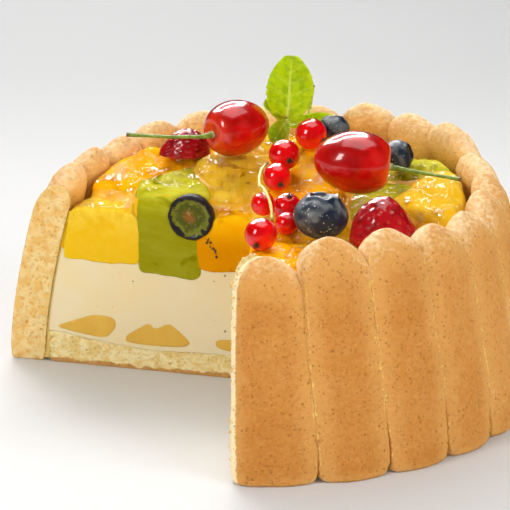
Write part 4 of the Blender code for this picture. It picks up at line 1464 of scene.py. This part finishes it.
@dataclass
class FruitBed:
    """The bed of cut mango, pineapple and kiwi, the half berry in its cut face and the glaze over it."""

    wall: FingerWall
    kinds: dict[str, Fruit] = field(default_factory=lambda: {
        "mango": Fruit(MANGO, 0.0008), "pineapple": Fruit(PINEAPPLE, 0.0009), "kiwi": Fruit(KIWI, 0.0013),
    })
    swell: float = 0.0007
    lump_size: float = 0.009
    voxel: float = 0.0007
    smoothing: int = 26
    cut_reach: float = 0.0004
    overhang: float = 0.0014
    proud: float = 0.0004
    sunk_below: float = 0.0350
    sinking: float = 0.0012
    film_radius: float = 0.0672
    film_step: float = 0.0008
    film_recess: float = 0.0004
    meniscus: float = 0.0012
    syrup_below: float = 0.0008
    syrup_foot: float = 0.0338
    syrup_bite: float = 0.0007
    half_berry_radius: float = 0.0069
    half_berry_along: float = 0.0221
    half_berry_height: float = 0.0492
    half_berry_proud: float = 0.0008
    half_berry_rows: int = 26
    half_berry_columns: int = 56
    half_berry_face: tuple[tuple[float, float], ...] = (
        (0.0, 0.00045), (0.2, 0.0005), (0.4, 0.0004), (0.6, 0.0003), (0.74, 0.0002), (0.80, -0.0001),
        (0.86, -0.0005), (0.93, -0.0005), (0.99, -0.0001),
    )
    noise: Noise = field(default_factory=lambda: Noise(37))
    chunks: list[Surface] = field(default_factory=list)

    def chunk(self, node: str, lumps: float) -> Surface:
        """A piece of the bed with rounded edges and soft lumps.

        Args:
            node: Which node it stands for.
            lumps: How high its lumps are.

        Returns:
            Its surface.
        """
        shape = bmesh.new()
        shape.from_mesh(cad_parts[node].data)
        bmesh.ops.remove_doubles(shape, verts=shape.verts[:], dist=1e-6)
        middle = np.mean([vertex.co for vertex in shape.verts], axis=0) - CAKE_AXIS
        inwards = into_cake(max((SLICE_FROM, SLICE_TO), key=lambda side: middle @ into_cake(side)))
        for vertex in shape.verts:
            if (np.array(vertex.co) - CAKE_AXIS) @ inwards < self.cut_reach:
                vertex.co -= Vector(inwards) * self.overhang
            if vertex.co.z < self.sunk_below:
                vertex.co.z -= self.sinking
        surface = self.softened(shape)
        bumps = lumps * self.noise.octaves(surface.points + 0.01 * len(self.chunks), self.lump_size, 3)
        surface.push(self.swell + bumps)
        depth = surface.points @ inwards
        flat = self.proud * (1.0 - np.exp(np.minimum(depth, 0.0) / self.proud))
        surface.points -= (np.minimum(depth, 0.0) + flat)[:, None] * inwards
        return surface

    def softened(self, shape: bmesh.types.BMesh) -> Surface:
        """A shape meshed evenly and smoothed, which rounds its edges.

        Args:
            shape: The rough shape, freed here.

        Returns:
            Its surface about the cake's axis.
        """
        mesh = bpy.data.meshes.new("rough")
        shape.to_mesh(mesh)
        shape.free()
        rough = bpy.data.objects.new("rough", mesh)
        bpy.context.scene.collection.objects.link(rough)
        remesh = rough.modifiers.new("remesh", "REMESH")
        remesh.mode = "VOXEL"
        remesh.voxel_size = self.voxel
        soften = rough.modifiers.new("soften", "SMOOTH")
        soften.factor = 0.6
        soften.iterations = self.smoothing
        bpy.context.view_layer.update()
        evaluated = rough.evaluated_get(bpy.context.evaluated_depsgraph_get())
        made = evaluated.to_mesh()
        points = np.empty(len(made.vertices) * 3)
        made.vertices.foreach_get("co", points)
        faces = np.array([(list(face.vertices) * 2)[:4] for face in made.polygons])
        evaluated.to_mesh_clear()
        bpy.data.objects.remove(rough)
        bpy.data.meshes.remove(mesh)
        return Surface(points.reshape(-1, 3) - CAKE_AXIS, faces)

    def build_chunks(self) -> None:
        """Makes every piece of cut fruit."""
        for node in sorted(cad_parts):
            kind = node.split("_")[0]
            if kind in self.kinds:
                surface = self.chunk(node, self.kinds[kind].lumps)
                self.chunks.append(surface)
                dress(node, surface, self.kinds[kind].finish, kind)

    def build_half_berry(self) -> None:
        """Makes the half berry: a thick dark skin that stands round green flesh."""
        flat = self.half_berry_face
        bend = np.radians(np.linspace(1.0, 90.0, self.half_berry_rows))
        levels = flat + tuple((math.cos(angle), math.sin(angle) * self.half_berry_radius) for angle in bend)
        azimuth = np.arange(self.half_berry_columns) * 2.0 * math.pi / self.half_berry_columns
        rings = []
        for index, (share, depth) in enumerate(levels):
            wide = self.half_berry_radius * share
            depth -= self.half_berry_proud * (index < len(flat))
            level = np.full_like(azimuth, depth)
            rings.append(np.stack([wide * np.cos(azimuth), wide * np.sin(azimuth), level], axis=1))
        shares = [share if index < len(flat) else 1.0 for index, (share, _) in enumerate(levels)]
        turn = facing(tuple(into_cake(SLICE_FROM)))
        place = around(SLICE_FROM, self.half_berry_along, self.half_berry_height)
        points = np.concatenate(rings) @ turn.T + place
        values = {"ring": np.repeat(shares, len(azimuth))}
        faces = grid_faces(len(levels), len(azimuth), closed=True)
        surface = Surface(points, faces, values).welded().turned_out()
        surface.push(0.00038 * self.noise.octaves(surface.points, 0.0026, 3))
        dress("blueberry_half", surface, HALF_BERRY, "blueberry_half")

    def surface_map(self) -> tuple[np.ndarray, np.ndarray]:
        """The height of the bed's top over a square grid, read from above.

        Returns:
            The grid's line of distances, and the heights, not-a-number outside the cake.
        """
        count = int(2 * self.film_radius / self.film_step) + 1
        line = np.linspace(-self.film_radius, self.film_radius, count)
        trees = [BVHTree.FromPolygons(chunk.points.tolist(), chunk.faces.tolist()) for chunk in self.chunks]
        heights = np.full((count, count), np.nan)
        for row, column in itertools.product(range(count), repeat=2):
            spot = np.array((line[column], line[row], 0.0))
            if np.hypot(*spot[:2]) > self.film_radius:
                continue
            if max(spot @ into_cake(SLICE_FROM), spot @ into_cake(SLICE_TO)) < self.film_recess:
                continue
            start = Vector((spot[0], spot[1], 0.12))
            found = [tree.ray_cast(start, Vector((0.0, 0.0, -1.0)))[0] for tree in trees]
            found = [hit.z for hit in found if hit is not None]
            heights[row, column] = max(found) if found else 0.0
        return line, filled(heights, 0.036)

    def hold_back(self, points: np.ndarray) -> None:
        """Moves points that lie too far out to just inside the fingers' inner faces."""
        crowns = np.array(self.wall.fingers + (self.wall.cut_finger,))
        azimuth = np.degrees(np.arctan2(points[:, 0], -points[:, 1])) % 360.0
        azimuth = np.where(azimuth > 300.0, azimuth - 360.0, azimuth)
        crown = np.interp(azimuth, crowns[:, 0], crowns[:, 1])
        reach = self.wall.middle(points[:, 2], crown) - self.wall.half_thickness + self.syrup_bite
        away = np.hypot(points[:, 0], points[:, 1])
        points[:, :2] *= np.minimum(1.0, reach / np.maximum(away, 1e-6))[:, None]

    def build_glaze(self) -> None:
        """Fills the bed's gaps with set syrup and lays a wrinkled clear skin over it."""
        line, heights = self.surface_map()
        count = len(line)
        x, y = np.meshgrid(line, line)
        for near, other in ((SLICE_FROM, SLICE_TO), (SLICE_TO, SLICE_FROM)):
            inwards = into_cake(near)
            depth = x * inwards[0] + y * inwards[1]
            beyond = x * into_cake(other)[0] + y * into_cake(other)[1] < 0
            snap = np.where((depth > self.film_recess) & (depth < self.film_recess + self.film_step) & beyond,
                            depth - self.film_recess, 0.0)
            x = x - snap * inwards[0]
            y = y - snap * inwards[1]
        inside = ~np.isnan(heights)
        corners = [inside[:-1, :-1], inside[:-1, 1:], inside[1:, :-1], inside[1:, 1:]]
        numbers = np.arange(count * count).reshape(count, count)
        first = numbers[:-1, :-1][np.logical_and.reduce(corners)]
        faces = np.stack([first, first + 1, first + count + 1, first + count], axis=1)
        level = np.nan_to_num(spanned(heights, 6)).reshape(-1) - self.syrup_below
        places = np.stack([x.reshape(-1), y.reshape(-1), level], axis=-1)
        syrup = thickened(trimmed(Surface(places, faces)), self.syrup_foot)
        self.hold_back(syrup.points)
        settle(syrup.to_object("syrup_fill", SYRUP.make()), "mango")
        places[:, 2] = np.nan_to_num(spanned(heights, 3)).reshape(-1)
        folds = 1.0 - 2.0 * np.abs(self.noise.at(places * (1.0, 1.0, 0.4), 0.0052))
        patches = smooth_step(self.noise.at(places + 0.2, 0.013), -0.25, 0.35)
        lift = 0.00035 + 0.00045 * np.clip(folds, 0.0, 1.0) ** 2 * patches
        lift += 0.0002 * self.noise.at(places, 0.0030)
        places[:, 2] += lift
        film = trimmed(Surface(places, faces))
        away = np.hypot(film.points[:, 0], film.points[:, 1])
        rise = smooth_step(away, self.film_radius - 0.009, self.film_radius - 0.003)
        film.points[:, 2] += self.meniscus * rise
        self.hold_back(film.points)
        settle(film.to_object("glaze_skin", GLAZE.make()), "mango")

    def build(self) -> None:
        """Makes the bed."""
        self.build_chunks()
        self.build_half_berry()
        self.build_glaze()


def neighbours(heights: np.ndarray) -> np.ndarray:
    """Nine copies of a height map, each shifted by one place or none, with not-a-number past its border."""
    padded = np.pad(heights, 1, constant_values=np.nan)
    rows, columns = heights.shape
    return np.stack([padded[1 + dy:rows + 1 + dy, 1 + dx:columns + 1 + dx]
                     for dy, dx in itertools.product((-1, 0, 1), repeat=2)])


def filled(heights: np.ndarray, least: float) -> np.ndarray:
    """A height map whose places below a least height take the height of their nearest neighbours.

    Args:
        heights: The heights, with not-a-number where there is nothing.
        least: The height under which a place counts as empty.

    Returns:
        The filled heights.
    """
    outside = np.isnan(heights)
    found = np.where(heights < least, np.nan, heights)
    while np.isnan(found[~outside]).any():
        near = neighbours(found)
        known = ~np.isnan(near)
        mean = np.where(known, near, 0.0).sum(axis=0) / np.maximum(known.sum(axis=0), 1)
        found = np.where(np.isnan(found) & known.any(axis=0), mean, found)
    found[outside] = np.nan
    return found


def thickened(surface: Surface, foot: float) -> Surface:
    """A closed body between a surface and a level below it.

    Args:
        surface: The top.
        foot: The level's height.

    Returns:
        The body.
    """
    count = len(surface.points)
    lower = surface.points.copy()
    lower[:, 2] = foot
    edges = np.concatenate([surface.faces[:, [side, (side + 1) % 4]] for side in range(4)])
    keys = np.sort(edges, axis=1)
    _, index, times = np.unique(keys, axis=0, return_index=True, return_counts=True)
    rim = edges[index[times == 1]]
    walls = np.stack([rim[:, 1], rim[:, 0], rim[:, 0] + count, rim[:, 1] + count], axis=1)
    faces = np.concatenate([surface.faces, surface.faces[:, ::-1] + count, walls])
    return Surface(np.concatenate([surface.points, lower]), faces)


def spanned(heights: np.ndarray, rounds: int) -> np.ndarray:
    """A height map whose narrow valleys are filled softly.

    Args:
        heights: The heights, with not-a-number where there is nothing.
        rounds: How often it is softened.

    Returns:
        Heights that are nowhere lower than the given ones.
    """
    found = heights.copy()
    for _ in range(rounds * 3):
        near = neighbours(found)
        softened = np.where(np.isnan(near), found, near).mean(axis=0)
        found = np.fmax(softened, heights)
        found[np.isnan(heights)] = np.nan
    return found


def trimmed(surface: Surface) -> Surface:
    """The surface without the points that no face uses."""
    used = np.unique(surface.faces)
    index = np.zeros(len(surface.points), dtype=int)
    index[used] = np.arange(len(used))
    values = {name: value[used] for name, value in surface.values.items()}
    return Surface(surface.points[used], index[surface.faces], values)


@dataclass
class Toppings:
    """Cherries, strawberries, blueberries and currants, with their stems, on top of the bed."""

    cherries: tuple[tuple[str, Point, float, float, Point], ...] = (
        ("cherry_1", (-0.0082, 0.0295, 0.0698), 0.0107, 0.0090, (-0.80, -0.58, -0.05)),
        ("cherry_2", (0.0265, 0.0032, 0.0666), 0.0121, 0.0098, (1.0, -0.10, -0.10)),
    )
    cherry_hollow: float = 0.16
    cherry_taper: float = 0.12
    stem_radius: float = 0.00055
    stem_flare: tuple[float, ...] = (2.1, 1.5, 1.0, 0.9, 0.9, 1.2)
    cherry_stems: tuple[tuple[str, tuple[Point, ...]], ...] = (
        ("cherry_stem_1", ((-0.0153, 0.0240, 0.0693), (-0.0170, 0.0226, 0.0692), (-0.0200, 0.0220, 0.0691),
                           (-0.0270, 0.0222, 0.0690), (-0.0340, 0.0226, 0.0692), (-0.0408, 0.0230, 0.0695))),
        ("cherry_stem_2", ((0.0362, 0.0022, 0.0656), (0.0382, 0.0019, 0.0652), (0.0430, 0.0009, 0.0646),
                           (0.0480, -0.0006, 0.0641), (0.0530, -0.0022, 0.0637), (0.0566, -0.0035, 0.0634))),
    )
    strawberries: tuple[tuple[str, Point, float, float, float, float], ...] = (
        ("strawberry_1", (-0.0238, 0.0352, 0.0602), 0.0158, 0.0120, 0.0078, 190.0),
        ("strawberry_2", (0.0338, -0.0255, 0.0517), 0.0204, 0.0166, 0.0132, -20.0),
    )
    blueberries: tuple[tuple[str, Point, float, float, Point], ...] = (
        ("blueberry_1", (0.0159, -0.0215, 0.0580), 0.0078, 0.84, (0.10, 0.10, 1.0)),
        ("blueberry_2", (0.0212, 0.0388, 0.0668), 0.0049, 0.86, (0.0, 0.4, 1.0)),
        ("blueberry_3", (0.0400, 0.0242, 0.0627), 0.0048, 0.90, (0.9, -0.3, 0.4)),
    )
    currants: tuple[tuple[str, Point, float, Point], ...] = (
        ("currant_1", (0.0142, 0.0312, 0.0674), 0.0048, (0.75, -0.60, -0.25)),
        ("currant_2", (0.0060, 0.0142, 0.0658), 0.0046, (0.30, -0.90, -0.12)),
        ("currant_3", (0.0038, 0.0052, 0.0616), 0.0042, (0.22, -0.90, -0.25)),
        ("currant_4", (-0.0003, -0.0052, 0.0566), 0.0035, (-0.2, 0.5, -0.8)),
        ("currant_5", (0.0066, -0.0092, 0.0568), 0.0042, (0.15, -0.45, 0.90)),
        ("currant_6", (0.0063, -0.0172, 0.0544), 0.0033, (0.5, 0.5, -0.6)),
        ("currant_7", (-0.0010, -0.0305, 0.0555), 0.0046, (-0.25, -0.85, -0.40)),
    )
    currant_stalk_radius: float = 0.00045
    currant_stalk: tuple[Point, ...] = (
        (0.0010, 0.0115, 0.0640), (-0.0006, 0.0075, 0.0634), (-0.0014, 0.0030, 0.0620),
        (-0.0012, -0.0020, 0.0610),
        (-0.0004, -0.0080, 0.0624), (0.0012, -0.0130, 0.0608), (0.0020, -0.0165, 0.0585),
        (0.0022, -0.0200, 0.0562),
    )
    tuft_tips: int = 7
    seed_spacing: float = 0.0027
    noise: Noise = field(default_factory=lambda: Noise(51))

    def build_cherries(self) -> None:
        """Makes the two cherries and their stems."""
        for name, centre, length, width, pole in self.cherries:
            surface = ball(72, 96)
            local = surface.points
            angle = np.arccos(np.clip(local[:, 2], -1.0, 1.0))
            hollow = self.cherry_hollow * np.exp(-(angle / 0.42) ** 2)
            narrow = 1.0 - self.cherry_taper * (0.5 - 0.5 * local[:, 2])
            shaped = np.stack([local[:, 0] * narrow * width, local[:, 1] * narrow * width,
                               (local[:, 2] - hollow * 1.6) * length], axis=1)
            surface.points = shaped @ facing(pole).T + np.array(centre)
            # Brighter red round the stem end: painted light on the cherry's shoulder.
            surface.values["glow"] = 0.75 * smooth_step(angle, 1.05, 0.25)
            surface.values["mark"] = 0.7 * smooth_step(angle, 3.02, 3.10)
            surface.push(0.00012 * self.noise.at(surface.points, 0.006))
            dress(name, surface, CHERRY, "cherry")
        for name, points in self.cherry_stems:
            path = smooth_path(points, 8)
            share = np.linspace(0.0, len(points) - 1.0, len(path))
            radius = self.stem_radius * np.interp(share, range(len(points)), self.stem_flare)
            surface = stalk(path, radius * (1.0 + 0.1 * self.noise.at(path, 0.004)))
            dress(name, surface, STEM, "stem")

    def build_strawberries(self) -> None:
        """Makes the halved strawberries, each with rows of seeds in small dents."""
        for name, centre, length, width, height, tip in self.strawberries:
            surface = ball(80, 110)
            local = surface.points
            narrow = 1.0 - 0.42 * np.maximum(0.0, local[:, 0]) ** 1.5
            lift = np.where(local[:, 2] > 0, 1.0, 0.10)
            shaped = np.stack([local[:, 0] * length / 2, local[:, 1] * narrow * width / 2,
                               local[:, 2] * narrow * lift * height], axis=1)
            dents, marks = self.seeds(shaped)
            turn = np.array(Matrix.Rotation(math.radians(tip), 3, "Z"))
            surface.points = shaped @ turn.T + np.array(centre)
            surface.values["glow"] = 0.6 * smooth_step(local[:, 0], -0.6, -1.0)
            surface.values["mark"] = marks
            surface.push(-0.00035 * dents + 0.0003 * self.noise.at(surface.points, 0.004))
            dress(name, surface, STRAWBERRY, "strawberry")

    def seeds(self, points: np.ndarray) -> tuple[np.ndarray, np.ndarray]:
        """How deep each point lies in a seed's dent, and how much of it is the seed."""
        turn = np.arctan2(points[:, 2], points[:, 1])
        along = points[:, 0] / self.seed_spacing
        row = np.round(along)
        column = turn * 3.4 + 0.5 * (row % 2)
        away = np.hypot(along - row, (column - np.round(column)) * 1.6)
        return smooth_step(away, 0.42, 0.0), smooth_step(away, 0.20, 0.10)

    def build_blueberries(self) -> None:
        """Makes the whole blueberries, each with its crown."""
        for name, centre, radius, flat, pole in self.blueberries:
            surface = ball(70, 90)
            local = surface.points
            angle = np.degrees(np.arccos(np.clip(local[:, 2], -1.0, 1.0)))
            turn = np.arctan2(local[:, 1], local[:, 0])
            lobes = 1.0 + 0.16 * np.cos(5.0 * turn)
            rise = 0.07 * np.exp(-((angle - 33.0 * lobes) / 7.0) ** 2) - 0.15 * smooth_step(angle, 30.0, 18.0)
            shaped = np.stack([local[:, 0], local[:, 1], local[:, 2] * flat + rise], axis=1) * radius
            surface.points = shaped @ facing(pole).T + np.array(centre)
            surface.values["crown"] = smooth_step(angle, 31.0, 24.0)
            # Specks on the lower left side: glaze specks with painted glints.
            left = (surface.points - np.array(centre)) @ np.array((-0.75, -0.55, -0.35)) / radius
            surface.values["glint_specks"] = smooth_step(left, -0.1, 0.5)
            surface.push(0.00012 * self.noise.octaves(surface.points, 0.004, 3))
            dress(name, surface, BLUEBERRY, "blueberry")

    def build_currants(self) -> None:
        """Makes the currants with their dry tufts, and the stalk that they hang on."""
        for name, centre, radius, pole in self.currants:
            surface = ball(48, 64)
            angle = np.degrees(np.arccos(np.clip(surface.points[:, 2], -1.0, 1.0)))
            dent = 0.05 * smooth_step(angle, 16.0, 4.0)
            surface.points = surface.points * (1.0 - dent)[:, None] * radius
            surface.points = surface.points @ facing(pole).T + np.array(centre)
            # Brighter red towards the underside: painted glow of light through the berry.
            surface.values["glow"] = smooth_step((surface.points[:, 2] - centre[2]) / radius, 0.1, -1.0)
            surface.values["mark"] = 0.5 * smooth_step(angle, 12.0, 8.0)
            dress(name, surface, CURRANT, "currant")
            self.add_tuft(name + "_tuft", np.array(centre), radius, facing(pole))
        path = smooth_path(self.currant_stalk, 6)
        radius = self.currant_stalk_radius * (1.0 + 0.25 * self.noise.at(path, 0.003))
        dress("currant_stalk", stalk(path, radius, 10), CURRANT_STALK, "stem")

    def add_tuft(self, name: str, centre: np.ndarray, radius: float, turn: np.ndarray) -> None:
        """Adds the dry tuft at a currant's end: a ring of short crumpled tips."""
        parts = []
        for index in range(self.tuft_tips):
            way = index * 2.0 * math.pi / self.tuft_tips
            spread = 0.00055 + 0.00020 * math.sin(index * 2.3)
            foot = np.array((math.cos(way) * 0.00025, math.sin(way) * 0.00025, radius * 0.93))
            tip = np.array((math.cos(way + 0.5) * spread * 1.6, math.sin(way + 0.5) * spread * 1.6,
                            radius + 0.00085))
            path = (np.linspace(0.0, 1.0, 6)[:, None] * (tip - foot) + foot) @ turn.T + centre
            parts.append(stalk(path, np.linspace(0.00030, 0.00012, 6), 6))
        settle(functools.reduce(Surface.joined, parts).to_object(name, TUFT.make()), "stem")

    def build(self) -> None:
        """Makes all the toppings."""
        self.build_cherries()
        self.build_strawberries()
        self.build_blueberries()
        self.build_currants()


@dataclass
class Mint:
    """The sprig of mint and the bare stalk beside it."""

    foot: Point = (0.0073, 0.0432, 0.0619)
    top: Point = (0.0070, 0.0430, 0.0690)
    stem_radius: float = 0.0006
    thickness: float = 0.0004
    blunt: float = 0.62
    highest: float = 0.0884
    leaves: tuple[tuple[Point, Point, float, Point, int], ...] = (
        ((0.0071, 0.0430, 0.0684), (0.0086, 0.0446, 0.0884), 0.0150, (0.10, -1.0, 0.30), 10),
        ((0.0068, 0.0431, 0.0684), (0.0004, 0.0465, 0.0738), 0.0050, (0.20, -1.0, 0.90), 5),
        ((0.0070, 0.0428, 0.0680), (0.0024, 0.0396, 0.0626), 0.0066, (-0.30, -1.0, 0.40), 5),
        ((0.0075, 0.0436, 0.0668), (0.0212, 0.0462, 0.0690), 0.0044, (0.10, -1.0, 0.30), 5),
    )
    stalk_radius: float = 0.0005
    stalk: tuple[Point, ...] = (
        (0.0132, 0.0478, 0.0619), (0.0136, 0.0478, 0.0670), (0.0144, 0.0480, 0.0722),
        (0.0153, 0.0482, 0.0782),
    )
    noise: Noise = field(default_factory=lambda: Noise(67))

    def leaf(self, base: Point, tip: Point, width: float, face: Point, teeth: int) -> Surface:
        """A thin leaf, folded along its middle rib, with side ribs and a toothed edge.

        Args:
            base: Where it leaves the stem.
            tip: Its tip.
            width: Its greatest width.
            face: The way its upper side looks.
            teeth: How many teeth each edge has.

        Returns:
            A closed surface with the value rib.
        """
        rows, columns = 90, 41
        share = np.linspace(0.0, 1.0, rows)[:, None]
        side = np.linspace(-1.0, 1.0, columns)[None, :]
        outline = np.sin(math.pi * np.minimum(1.0, 0.05 + 0.93 * share) ** 0.95) ** self.blunt
        saw = (share * teeth + 0.15) % 1.0
        outline = outline * (1.0 - 0.075 * saw * np.abs(side) ** 6)
        across = side * width / 2 * outline
        length = float(np.linalg.norm(np.subtract(tip, base)))
        forward = share * length + 0.020 * length * saw * np.abs(side) ** 8
        slant = share * teeth * 0.55 - np.abs(side) * 1.15
        ribs = np.exp(-((slant - np.round(slant)) / 0.055) ** 2)
        ribs = ribs * smooth_step(np.abs(side), 0.98, 0.5) * (side != 0)
        middle = np.exp(-(across / (0.028 * width * (1.15 - share))) ** 2)
        blister = np.cos((slant - np.round(slant)) * 2.0 * math.pi)
        fold = 0.22 * np.abs(across) + 0.0007 * np.sin(7.0 * share + 2.0 * side)
        relief = -0.00022 * middle - 0.00012 * ribs - 0.00010 * blister * np.abs(side)
        along = Vector(tip) - Vector(base)
        right = along.cross(Vector(face)).normalized()
        turn = np.array(Matrix((right, along.normalized(), right.cross(along).normalized())))
        forward = np.broadcast_to(forward, across.shape)
        local = np.stack([across, forward, fold + relief], axis=-1).reshape(-1, 3)
        front = Surface(local @ turn + np.array(base), grid_faces(rows, columns))
        front.values["rib"] = np.clip(0.70 * middle + 0.22 * ribs, 0.0, 1.0).reshape(-1)
        thin = self.thickness * (1.0 - 0.7 * np.abs(np.broadcast_to(side, across.shape)) ** 4).reshape(-1)
        inner = front.points - front.normals() * thin[:, None]
        back = Surface(inner, front.faces[:, ::-1], dict(front.values))
        rim = np.concatenate([np.arange(columns), np.arange(2, rows) * columns - 1,
                              np.arange(rows * columns - 1, (rows - 1) * columns - 1, -1),
                              np.arange(rows - 2, 0, -1) * columns])
        after = np.roll(rim, -1)
        both = front.joined(back)
        both.points[:, 2] = np.minimum(both.points[:, 2], self.highest)
        walls = np.stack([after, rim, rim + rows * columns, after + rows * columns], axis=1)
        both.faces = np.concatenate([both.faces, walls])
        return both.turned_out()

    def build(self) -> None:
        """Makes the sprig and the bare stalk."""
        path = smooth_path((self.foot, self.top), 8)
        sprig = stalk(path, np.full(len(path), self.stem_radius))
        sprig.values = {"rib": np.full(len(sprig.points), 0.6)}
        for base, tip, width, face, teeth in self.leaves:
            sprig = sprig.joined(self.leaf(base, tip, width, face, teeth))
        dress("mint_sprig", sprig, LEAF, "mint")
        path = smooth_path(self.stalk, 8)
        bare = stalk(path, self.stalk_radius * np.linspace(1.0, 0.8, len(path)))
        dress("bare_stalk", bare, GREEN_STALK, "mint")


@dataclass(frozen=True)
class SoftLight:
    """A rectangular soft light that points at the cake.

    Attributes:
        name: The light's name.
        place: Where it hangs.
        size: Its width and height.
        watts: Its power.
        tint: Its colour.
        in_mirror: Whether shiny surfaces mirror it.
        in_light: Whether it lights what isn't shiny.
    """

    name: str
    place: Point
    size: tuple[float, float]
    watts: float
    tint: Colour = (1.0, 1.0, 1.0)
    in_mirror: bool = True
    in_light: bool = True

    def hang(self, aim: Point) -> None:
        """Hangs the light, turned to a point."""
        lamp = bpy.data.lights.new(self.name, "AREA")
        lamp.shape = "RECTANGLE"
        lamp.size, lamp.size_y = self.size
        lamp.energy = self.watts
        lamp.color = self.tint
        light = bpy.data.objects.new(self.name, lamp)
        light.location = self.place
        light.rotation_euler = (Vector(aim) - Vector(self.place)).to_track_quat("-Z", "Y").to_euler()
        light.visible_camera = False
        light.visible_glossy = self.in_mirror
        light.visible_diffuse = self.in_light
        bpy.context.scene.collection.objects.link(light)


@dataclass
class Studio:
    """The table, the soft lights and the camera."""

    camera_place: Point = (-0.00403, -0.70, 0.26876)
    camera_drop: float = 18.095
    lens: float = 178.13
    shift: float = -2.0 / 510.0
    floor_size: float = 8.0
    aim: Point = (0.0, 0.0, 0.04)
    surroundings: float = 0.33
    sky: float = 0.83
    sky_width: float = 40.0
    soft_lights: tuple[SoftLight, ...] = (
        SoftLight("window_left", (-0.50, -0.47, 0.42), (0.19, 0.30), 2.5, (1.0, 0.99, 0.97)),
        SoftLight("window_back", (-0.16, 0.60, 0.62), (0.46, 0.26), 4.6, (1.0, 0.99, 0.97), in_mirror=False),
        SoftLight("glint", (-0.16, 0.60, 0.62), (0.75, 0.50), 26.0, in_light=False),
        SoftLight("fill_right", (0.70, -0.50, 0.45), (0.60, 0.60), 4.8, (1.0, 0.98, 0.95), in_mirror=False),
        SoftLight("fill_front", (-0.05, -1.10, 0.55), (0.80, 0.60), 1.7, (1.0, 0.98, 0.95), in_mirror=False),
        SoftLight("sheen", (0.05, 0.08, 0.86), (0.75, 0.75), 4.5, in_light=False),
    )

    def build_floor(self) -> None:
        """Lays the pale table."""
        half = self.floor_size / 2.0
        corners = np.array([(x * half, y * half, -0.0001) for x, y in ((-1, -1), (1, -1), (1, 1), (-1, 1))])
        Surface(corners, np.array([[0, 1, 2, 3]])).to_object("table", TABLE.make())

    def build_lights(self) -> None:
        """Hangs the lights and sets the pale surroundings."""
        world = bpy.data.worlds.new("studio")
        world.use_nodes = True
        background = world.node_tree.nodes["Background"].inputs
        background["Color"].default_value = (0.97, 0.985, 1.0, 1.0)
        background["Strength"].default_value = self.surroundings
        world.cycles_visibility.glossy = False
        bpy.context.scene.world = world
        for light in self.soft_lights:
            light.hang(self.aim)
        sky = bpy.data.lights.new("sky", "SUN")
        sky.energy = self.sky
        sky.angle = math.radians(self.sky_width)
        lamp = bpy.data.objects.new("sky", sky)
        lamp.rotation_euler = (math.radians(-28.0), math.radians(-8.0), 0.0)
        lamp.visible_glossy = False
        bpy.context.scene.collection.objects.link(lamp)
        bpy.context.scene.view_settings.view_transform = "Standard"

    def build_camera(self) -> None:
        """Sets the camera at the photograph's angle of view."""
        lens = bpy.data.cameras.new("camera")
        lens.lens = self.lens
        lens.sensor_width = 36.0
        lens.shift_y = self.shift
        camera = bpy.data.objects.new("camera", lens)
        camera.location = self.camera_place
        camera.rotation_euler = (math.radians(90.0 - self.camera_drop), 0.0, 0.0)
        bpy.context.scene.collection.objects.link(camera)
        bpy.context.scene.camera = camera

    def build(self) -> None:
        """Sets up the whole studio."""
        self.build_floor()
        self.build_lights()
        self.build_camera()


def write_sizes() -> None:
    """Brings the view layer up to date."""
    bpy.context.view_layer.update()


def main() -> None:
    """Dresses the cake, one sub-assembly after another."""
    logging.basicConfig(level=logging.INFO, format="%(message)s", stream=sys.stdout)
    wall = FingerWall()
    for part in (Studio(), wall, Layers(wall), FruitBed(wall), Crumbs(wall), Toppings(), Mint()):
        LOG.info("building %s", type(part).__name__)
        part.build()
    write_sizes()


if __name__ == "__main__":
    main()
